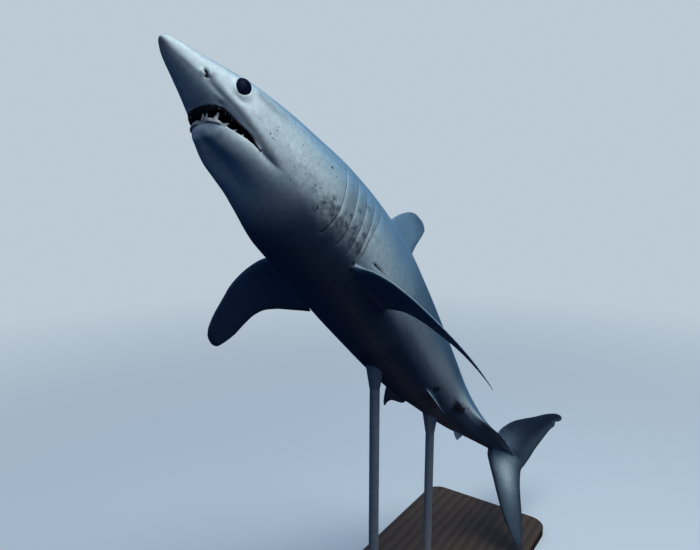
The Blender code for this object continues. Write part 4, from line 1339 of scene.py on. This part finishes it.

# %% [markdown]
# ## The finishes
#
# A mako's skin is satin, not glossy: it is covered with tooth-like scales too small to see. Its colour
# is mostly the blend from the dark back to the white belly, broken by cloudy patches, fine streaks
# along the body, freckles on the cheek and round the gills, and a few old black sores near the tail.
# The freckles have fixed places, and their edges are roughened with noise. The slits, the creases and the
# fin's fold are painted nearly black as painted shade, and a deep blue painted shade lies on the underside.


# %% Skin
BACK_TO_BELLY = ((0.0, (0.165, 0.280, 0.400)), (0.22, (0.220, 0.350, 0.470)), (0.45, (0.320, 0.450, 0.540)),
                 (0.70, (0.490, 0.585, 0.620)), (1.0, (0.740, 0.770, 0.760)))
# PAINTED_SHADE_AND_DUSKY is the deep blue of painted shade on the body and the fins' undersides, and of the
# fins' dusky edges
PAINTED_SHADE_AND_DUSKY, BLOTCH, BRUISE = (0.014, 0.036, 0.080), (0.035, 0.050, 0.072), (0.030, 0.042, 0.060)
PEPPER, FRECKLE = (0.06, 0.065, 0.07), (0.016, 0.018, 0.024)
# SLIT_SHADE is near-black painted shade for the slits, the creases and the fold at the fin's root
SORE, SLIT_SHADE = (0.012, 0.009, 0.007), (0.006, 0.008, 0.012)
TAIL_TINT = (0.50, 0.33, 0.265)   # multiplies the tail fin's dark parts

# freckles of the left side: share, degrees from the back, radius in mm
FRECKLES = ((0.1130, 90, 1.7), (0.1135, 94, 1.7), (0.1045, 104, 1.5), (0.1095, 104, 1.9),
            (0.1130, 106, 1.6), (0.1155, 106, 1.6), (0.0950, 98, 1.2), (0.1170, 174, 1.4),
            (0.1755, 91, 1.3), (0.1740, 88, 0.9), (0.2010, 108, 1.8), (0.1265, 67, 1.5),
            (0.1370, 70, 1.4), (0.1370, 110, 1.2), (0.1430, 111.5, 1.6), (0.1445, 123, 1.3),
            (0.1475, 124.5, 1.5), (0.1405, 86, 1.5), (0.1615, 90, 1.4), (0.1760, 83, 3.4),
            (0.1485, 86, 1.6), (0.1835, 88, 1.5), (0.1550, 108.5, 1.5), (0.1690, 109.5, 2.0),
            (0.1750, 107, 1.5), (0.1860, 113.5, 2.8), (0.1920, 105, 2.2), (0.1840, 122.5, 3.2),
            (0.1600, 112.5, 1.5), (0.2190, 103, 2.0), (0.2270, 94.5, 1.4), (0.2380, 117.5, 1.8),
            (0.2520, 94.5, 2.0), (0.2615, 75.5, 1.4), (0.2105, 106, 1.8), (0.1480, 99, 1.0),
            (0.1280, 97, 0.9), (0.2950, 97, 1.1))
# old black sores near the tail, scattered along two short rows
SORES = []
sore_chance = np.random.default_rng(5)
for k in range(9):
    for row in (-1, 0, 1):
        share = 0.649 + 0.0048 * k + sore_chance.normal(0, 0.0008)
        degrees = 124 - 1.3 * k + 6 * row + sore_chance.normal(0, 1.2)
        SORES.append((share, degrees, (11.5 - 0.5 * k - 2.5 * abs(row)) * sore_chance.uniform(0.75, 1.1)))
SORES += [(0.554 + 0.0045 * k, 130 + 2.0 * (-1) ** k, 7.5) for k in range(4)]
SORES += [(0.561, 134, 6.0), (0.656, 110, 5.0), (0.671, 104, 4.0), (0.698, 101, 4.0)]
# cloudy bruises round the gills
CLOUDS = ((0.1915, 106, 12.0), (0.1870, 114, 17.0), (0.1845, 122, 12.0), (0.1920, 112, 14.0),
          (0.201, 108, 9.0), (0.2105, 115, 12.0), (0.2375, 117, 11.0), (0.2490, 117, 13.0),
          (0.2510, 94, 9.0), (0.226, 93, 9.0), (0.2195, 103, 9.0), (0.2310, 110, 10.0),
          (0.2350, 84, 8.0), (0.2450, 105, 9.0), (0.2030, 118, 12.0), (0.1975, 124, 12.0),
          (0.1700, 114, 8.0))
# painted shadow: the dark line where the pectoral fin folds against the body
FIN_FOLD_SHADOW = ((0.2575, 129, 3.0), (0.2600, 130.5, 4.5), (0.2620, 133, 4.0), (0.2635, 136, 3.0),
           (0.2765, 114.6, 1.2), (0.2795, 114.3, 1.9), (0.2830, 114.0, 2.3), (0.2865, 113.6, 2.5),
           (0.2900, 113.1, 2.6), (0.2935, 112.6, 2.7), (0.2970, 112.0, 2.5), (0.3005, 111.4, 2.0),
           (0.3035, 110.9, 1.4))


def spots(tree, vector, table):
    """Round patches at places on the left side, with soft edges, joined into one mask."""
    total = None
    for s, degrees, radius in table:
        centre = plain_skin(np.array(s), np.array(float(degrees)))[0]
        away = node(tree, "ShaderNodeVectorMath", operation="DISTANCE")
        feed(tree, away.inputs[0], vector)
        away.inputs[1].default_value = tuple(float(c) for c in centre)
        one = between(tree, away.outputs["Value"], radius * MM * 0.55, radius * MM * 1.25, 1.0, 0.0)
        total = one if total is None else number(tree, "MAXIMUM", total, one)
    return total


def roughened(tree, vector, scale, amount):
    """The place, shifted a little by noise, so that a round mask gets an uneven edge."""
    ripple = node(tree, "ShaderNodeTexNoise")
    feed(tree, ripple.inputs["Vector"], vector)
    ripple.inputs["Scale"].default_value = scale
    centred = node(tree, "ShaderNodeVectorMath", operation="SUBTRACT")
    feed(tree, centred.inputs[0], ripple.outputs["Color"])
    centred.inputs[1].default_value = (0.5, 0.5, 0.5)
    shift = stretched(tree, centred.outputs[0], (amount, amount, amount))
    moved = node(tree, "ShaderNodeVectorMath", operation="ADD")
    feed(tree, moved.inputs[0], vector)
    feed(tree, moved.inputs[1], shift)
    return moved.outputs[0]


def product(tree, first, second, *more):
    """Two or more numbers multiplied."""
    total = number(tree, "MULTIPLY", first, second)
    for value in more:
        total = number(tree, "MULTIPLY", total, value)
    return total


def swing(tree, value, amount):
    """A noise's rise and fall about its middle, times an amount."""
    return product(tree, number(tree, "SUBTRACT", value, 0.5), amount)


def back_to_belly(tree, cloud, grain):
    """The blend from the dark back to the pale belly, with cloudy patches, streaks and fine grain."""
    along = mask(tree, "along")
    body_place = node(tree, "ShaderNodeCombineXYZ")
    feed(tree, body_place.inputs["X"], product(tree, along, 5.0))
    feed(tree, body_place.inputs["Y"], product(tree, mask(tree, "around"), 38.0))
    streak = noise(tree, body_place.outputs[0], 1.0, 4.0, 0.55)
    on_body = between(tree, along, 1.2, 1.8, 0.26, 0.03)
    depth = number(tree, "ADD", mask(tree, "pale"), swing(tree, cloud, 0.30))
    depth = number(tree, "ADD", depth, swing(tree, streak, on_body))
    base = colours(tree, depth, BACK_TO_BELLY)
    grey = node(tree, "ShaderNodeCombineColor")
    brightness = between(tree, grain, 0.30, 0.75, 0.86, 1.08)
    for channel in ("Red", "Green", "Blue"):
        feed(tree, grey.inputs[channel], brightness)
    return blend(tree, 1.0, base, grey.outputs[0], "MULTIPLY")


def add_marks(tree, where, base):
    """Lays the blotches, freckles and sores over the plain colours, and the painted shade of the dusk mask,
    the slits and the fin's fold.
    """
    fine, coarse = noise(tree, where, 42.0, 5.0, 0.62), noise(tree, where, 16.0, 4.0, 0.6)
    blotch = number(tree, "MAXIMUM", between(tree, fine, 0.47, 0.64),
                    product(tree, between(tree, coarse, 0.40, 0.66), 0.75))
    clouds = product(tree, spots(tree, roughened(tree, where, 40.0, 0.022), CLOUDS),
                     between(tree, noise(tree, where, 80.0, 5.0, 0.65), 0.32, 0.60))
    pepper = between(tree, noise(tree, where, 310.0, 2.0, 0.5), 0.66, 0.72)
    along = mask(tree, "along")
    on_flank = product(tree, between(tree, along, 0.085, 0.12), between(tree, along, 0.27, 0.34, 1.0, 0.0))
    freckles = spots(tree, roughened(tree, where, 260.0, 0.003), FRECKLES)
    sores = spots(tree, roughened(tree, where, 75.0, 0.014), SORES)
    layers = ((product(tree, blotch, mask(tree, "mottle"), 0.85), BLOTCH),
              (product(tree, clouds, 0.66), BRUISE), (product(tree, pepper, on_flank, 0.45), PEPPER),
              (mask(tree, "dusk"), PAINTED_SHADE_AND_DUSKY), (product(tree, freckles, 0.93), FRECKLE),
              (product(tree, sores, 0.96), SORE), (spots(tree, where, FIN_FOLD_SHADOW), SLIT_SHADE),
              (mask(tree, "slit"), SLIT_SHADE))
    for share, colour in layers:
        base = blend(tree, share, base, (*colour, 1))
    dark = number(tree, "SUBTRACT", 1.0, mask(tree, "pale"))
    on_tail = product(tree, between(tree, along, 2.2, 2.8), dark)
    return blend(tree, on_tail, base, (*TAIL_TINT, 1), "MULTIPLY")


def finish_skin(tree, shader):
    """Colour, sheen and relief of the skin."""
    where = place_of(tree)
    cloud, grain = noise(tree, where, 7.0, 4.0, 0.5), noise(tree, where, 95.0, 3.0, 0.6)
    feed(tree, shader.inputs["Base Color"], add_marks(tree, where, back_to_belly(tree, cloud, grain)))
    sheen = number(tree, "MAXIMUM", between(tree, cloud, 0.3, 0.7, 0.36, 0.50),
                   product(tree, mask(tree, "slit"), 0.8))
    feed(tree, shader.inputs["Roughness"], sheen)
    scales = noise(tree, where, 800.0, 2.0, 0.5)
    relief = number(tree, "ADD", product(tree, scales, 0.35), product(tree, grain, 0.9))
    feed(tree, shader.inputs["Normal"], bump(tree, relief, 0.35, 0.0006))


finish_skin(skin_tree, skin_shader)
choose(skin)
bpy.ops.object.shade_smooth()
print("skin finish:", len(skin_tree.nodes), "nodes; the skin has",
      sum(len(face.vertices) - 2 for face in skin.data.polygons), "triangles")

# %% Mouth, teeth and eyes
# painted shade: the mouth's walls are near black for the dark inside the mouth
wet = noise(lining_tree, place_of(lining_tree), 60.0, 4.0, 0.6)
feed(lining_tree, lining_shader.inputs["Base Color"],
     colours(lining_tree, wet, ((0.30, (0.030, 0.018, 0.022)), (0.70, (0.085, 0.050, 0.055)))))
lining_shader.inputs["Roughness"].default_value = 0.45
feed(lining_tree, lining_shader.inputs["Normal"], bump(lining_tree, wet, 0.4, 0.001))

IVORY = ((0.12, (0.30, 0.24, 0.19)), (0.38, (0.62, 0.57, 0.49)), (0.95, (0.82, 0.81, 0.77)))
tooth_finish, tree, shader = node_material("tooth_ivory")
stain = number(tree, "ADD", mask(tree, "up_tooth"), swing(tree, noise(tree, place_of(tree), 300.0), 0.3))
feed(tree, shader.inputs["Base Color"], colours(tree, stain, IVORY))
shader.inputs["Roughness"].default_value = 0.22
for row in (lower_teeth, upper_teeth):
    row.data.materials.append(tooth_finish)

PALE_GUM = ((0.35, (0.30, 0.27, 0.25)), (0.50, (0.52, 0.50, 0.46)), (0.70, (0.62, 0.61, 0.57)))
gum_finish, tree, shader = node_material("pale_gum")
feed(tree, shader.inputs["Base Color"],
     colours(tree, noise(tree, place_of(tree), 260.0, 3.0, 0.6), PALE_GUM))
shader.inputs["Roughness"].default_value = 0.38
gum_ridge.data.materials.append(gum_finish)

EYE_RINGS = ((0.40, (0.004, 0.006, 0.018)), (0.50, (0.006, 0.008, 0.022)),
             (0.82, (0.006, 0.008, 0.022)), (0.95, (0.002, 0.003, 0.008)))
eye_finish, tree, shader = node_material("eye_black")
ring = number(tree, "ADD", mask(tree, "from_pupil"), swing(tree, noise(tree, place_of(tree), 400.0), 0.06))
feed(tree, shader.inputs["Base Color"], colours(tree, ring, EYE_RINGS))
shader.inputs["Roughness"].default_value = 0.20
shader.inputs["Specular IOR Level"].default_value = 0.01
for eye in eyes:
    eye.data.materials.append(eye_finish)
print("finishes:", [m.name for m in (skin_finish, lining_finish, tooth_finish, gum_finish, eye_finish)])

# %% [markdown]
# ## The stand
#
# The stand keeps the loaded solids: an oiled board and two brushed steel rods. The board is flat-sawn,
# so its grain runs along it in long arches. Brushed steel is scratched round the rod, so the fine
# lines run across its length. A collar closes the hole at each rod's foot.

# %% Stand
WOOD = ((0.0, (0.060, 0.034, 0.020)), (0.6, (0.105, 0.060, 0.034)), (1.0, (0.050, 0.028, 0.017)))
PORE = (0.022, 0.013, 0.008, 1)
board_finish, tree, shader = node_material("oiled_board")
board_place = place_of(tree)
rings = node(tree, "ShaderNodeTexWave", wave_type="BANDS", bands_direction="X", wave_profile="SAW")
feed(tree, rings.inputs["Vector"], stretched(tree, board_place, (1, 0.18, 1)))
for name, value in (("Scale", 9.0), ("Distortion", 4.0), ("Detail", 2.0)):
    rings.inputs[name].default_value = value
pores = noise(tree, stretched(tree, board_place, (420, 14, 420)), 1.0, 2.0)
wood = colours(tree, rings.outputs["Fac"], WOOD)
wood = blend(tree, between(tree, pores, 0.55, 0.75, 0.0, 0.7), wood, PORE)
feed(tree, shader.inputs["Base Color"], wood)
feed(tree, shader.inputs["Roughness"], between(tree, pores, 0.3, 0.7, 0.34, 0.52))
feed(tree, shader.inputs["Normal"], bump(tree, pores, 0.3, 0.0005))

STEEL = ((0.3, (0.46, 0.47, 0.48)), (0.7, (0.66, 0.67, 0.68)))
rod_finish, tree, shader = node_material("brushed_rod")
brush = noise(tree, stretched(tree, place_of(tree), (30, 30, 900)), 1.0, 3.0, 0.6)
feed(tree, shader.inputs["Base Color"], colours(tree, brush, STEEL))
feed(tree, shader.inputs["Roughness"], between(tree, brush, 0.3, 0.7, 0.26, 0.42))
shader.inputs["Metallic"].default_value = 0.6
feed(tree, shader.inputs["Normal"], bump(tree, brush, 0.25, 0.0003))

for name, solid in frame["nodes"].items():
    if name.startswith("stand"):
        solid.data.materials.clear()
        solid.data.materials.append(board_finish if name == "stand_base" else rod_finish)

COLLAR_RADIUS, COLLAR_HEIGHT, COLLAR_BEVEL = 0.030, 0.008, 0.0012
SMOOTH_UP_TO = math.radians(40)   # edges sharper than this stay sharp


def soften_edges(width, **settings):
    """Bevels every edge of the piece just made."""
    bpy.ops.object.mode_set(mode="EDIT")
    bpy.ops.mesh.select_all(action="SELECT")
    bpy.ops.mesh.bevel(offset=width, segments=3, affect="EDGES", **settings)
    bpy.ops.object.mode_set(mode="OBJECT")


collars = []
rod_names = [name for name in frame["nodes"] if name.startswith("stand_rod")]
for name in rod_names:
    low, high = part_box(name)
    foot = Vector(((low.x + high.x) / 2, (low.y + high.y) / 2, base_high.z))
    bpy.ops.object.select_all(action="DESELECT")
    bpy.ops.mesh.primitive_cylinder_add(vertices=64, radius=COLLAR_RADIUS, depth=COLLAR_HEIGHT,
                                        location=(0, 0, COLLAR_HEIGHT / 2))
    collar = bpy.context.object
    collar.name = "collar_" + name
    bpy.ops.object.transform_apply(location=True)
    soften_edges(COLLAR_BEVEL)
    bpy.ops.object.shade_smooth_by_angle(angle=SMOOTH_UP_TO)
    collar.data.transform(Matrix.Translation(foot))
    collar.data.materials.append(rod_finish)
    collars.append(collar)
print("stand:", [n for n in frame["nodes"] if n.startswith("stand")], "collars:", len(collars))

# %% Cradles at the rods' tops
CRADLE_LOW, CRADLE_HIGH = 0.060, 0.016   # below and above the rod's end
CRADLE_FOOT_RADIUS, CRADLE_RADIUS, CRADLE_BEVEL = 0.0148, 0.027, 0.0015
cradles = []
for name in rod_names:
    low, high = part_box(name)
    bpy.ops.object.select_all(action="DESELECT")
    bpy.ops.mesh.primitive_cone_add(vertices=96, radius1=CRADLE_FOOT_RADIUS, radius2=CRADLE_RADIUS,
                                    depth=CRADLE_LOW + CRADLE_HIGH)
    cradle = bpy.context.object
    cradle.name = name.replace("stand_rod", "cradle")
    soften_edges(CRADLE_BEVEL, clamp_overlap=True)
    middle = Vector(((low.x + high.x) / 2, (low.y + high.y) / 2, high.z + (CRADLE_HIGH - CRADLE_LOW) / 2))
    cradle.data.transform(Matrix.Translation(middle))
    combine(cradle, skin, "DIFFERENCE", "MANIFOLD", keep=True)
    bpy.ops.object.shade_smooth_by_angle(angle=SMOOTH_UP_TO)
    cradle.data.materials.clear()
    cradle.data.materials.append(rod_finish)
    cradles.append(cradle)
print("cradles:", {cradle.name: len(cradle.data.polygons) for cradle in cradles})

# %% [markdown]
# ## What goes with what
#
# The fish is still, so every piece rides on the one body of the model. The skin stands for all solids
# of flesh. The teeth are parts of the jaws' solids, so they stand for none of their own.

# %% Ride
FLESH = ["head", "lower_jaw", "trunk", "tail_stock", "dorsal_fin_first", "dorsal_fin_second", "anal_fin",
         "caudal_fin_upper", "caudal_fin_lower", "pectoral_fin_left", "pectoral_fin_right",
         "pelvic_fin_left", "pelvic_fin_right"]
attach(skin, "root")
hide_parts(*FLESH)
for row in (lower_teeth, upper_teeth):
    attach(row, "root")
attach(gum_ridge, "root")
for eye, side_name in zip(eyes, ("left", "right")):
    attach(eye, "root")
    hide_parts("eye_" + side_name)
for piece in collars + cradles:
    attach(piece, "root")
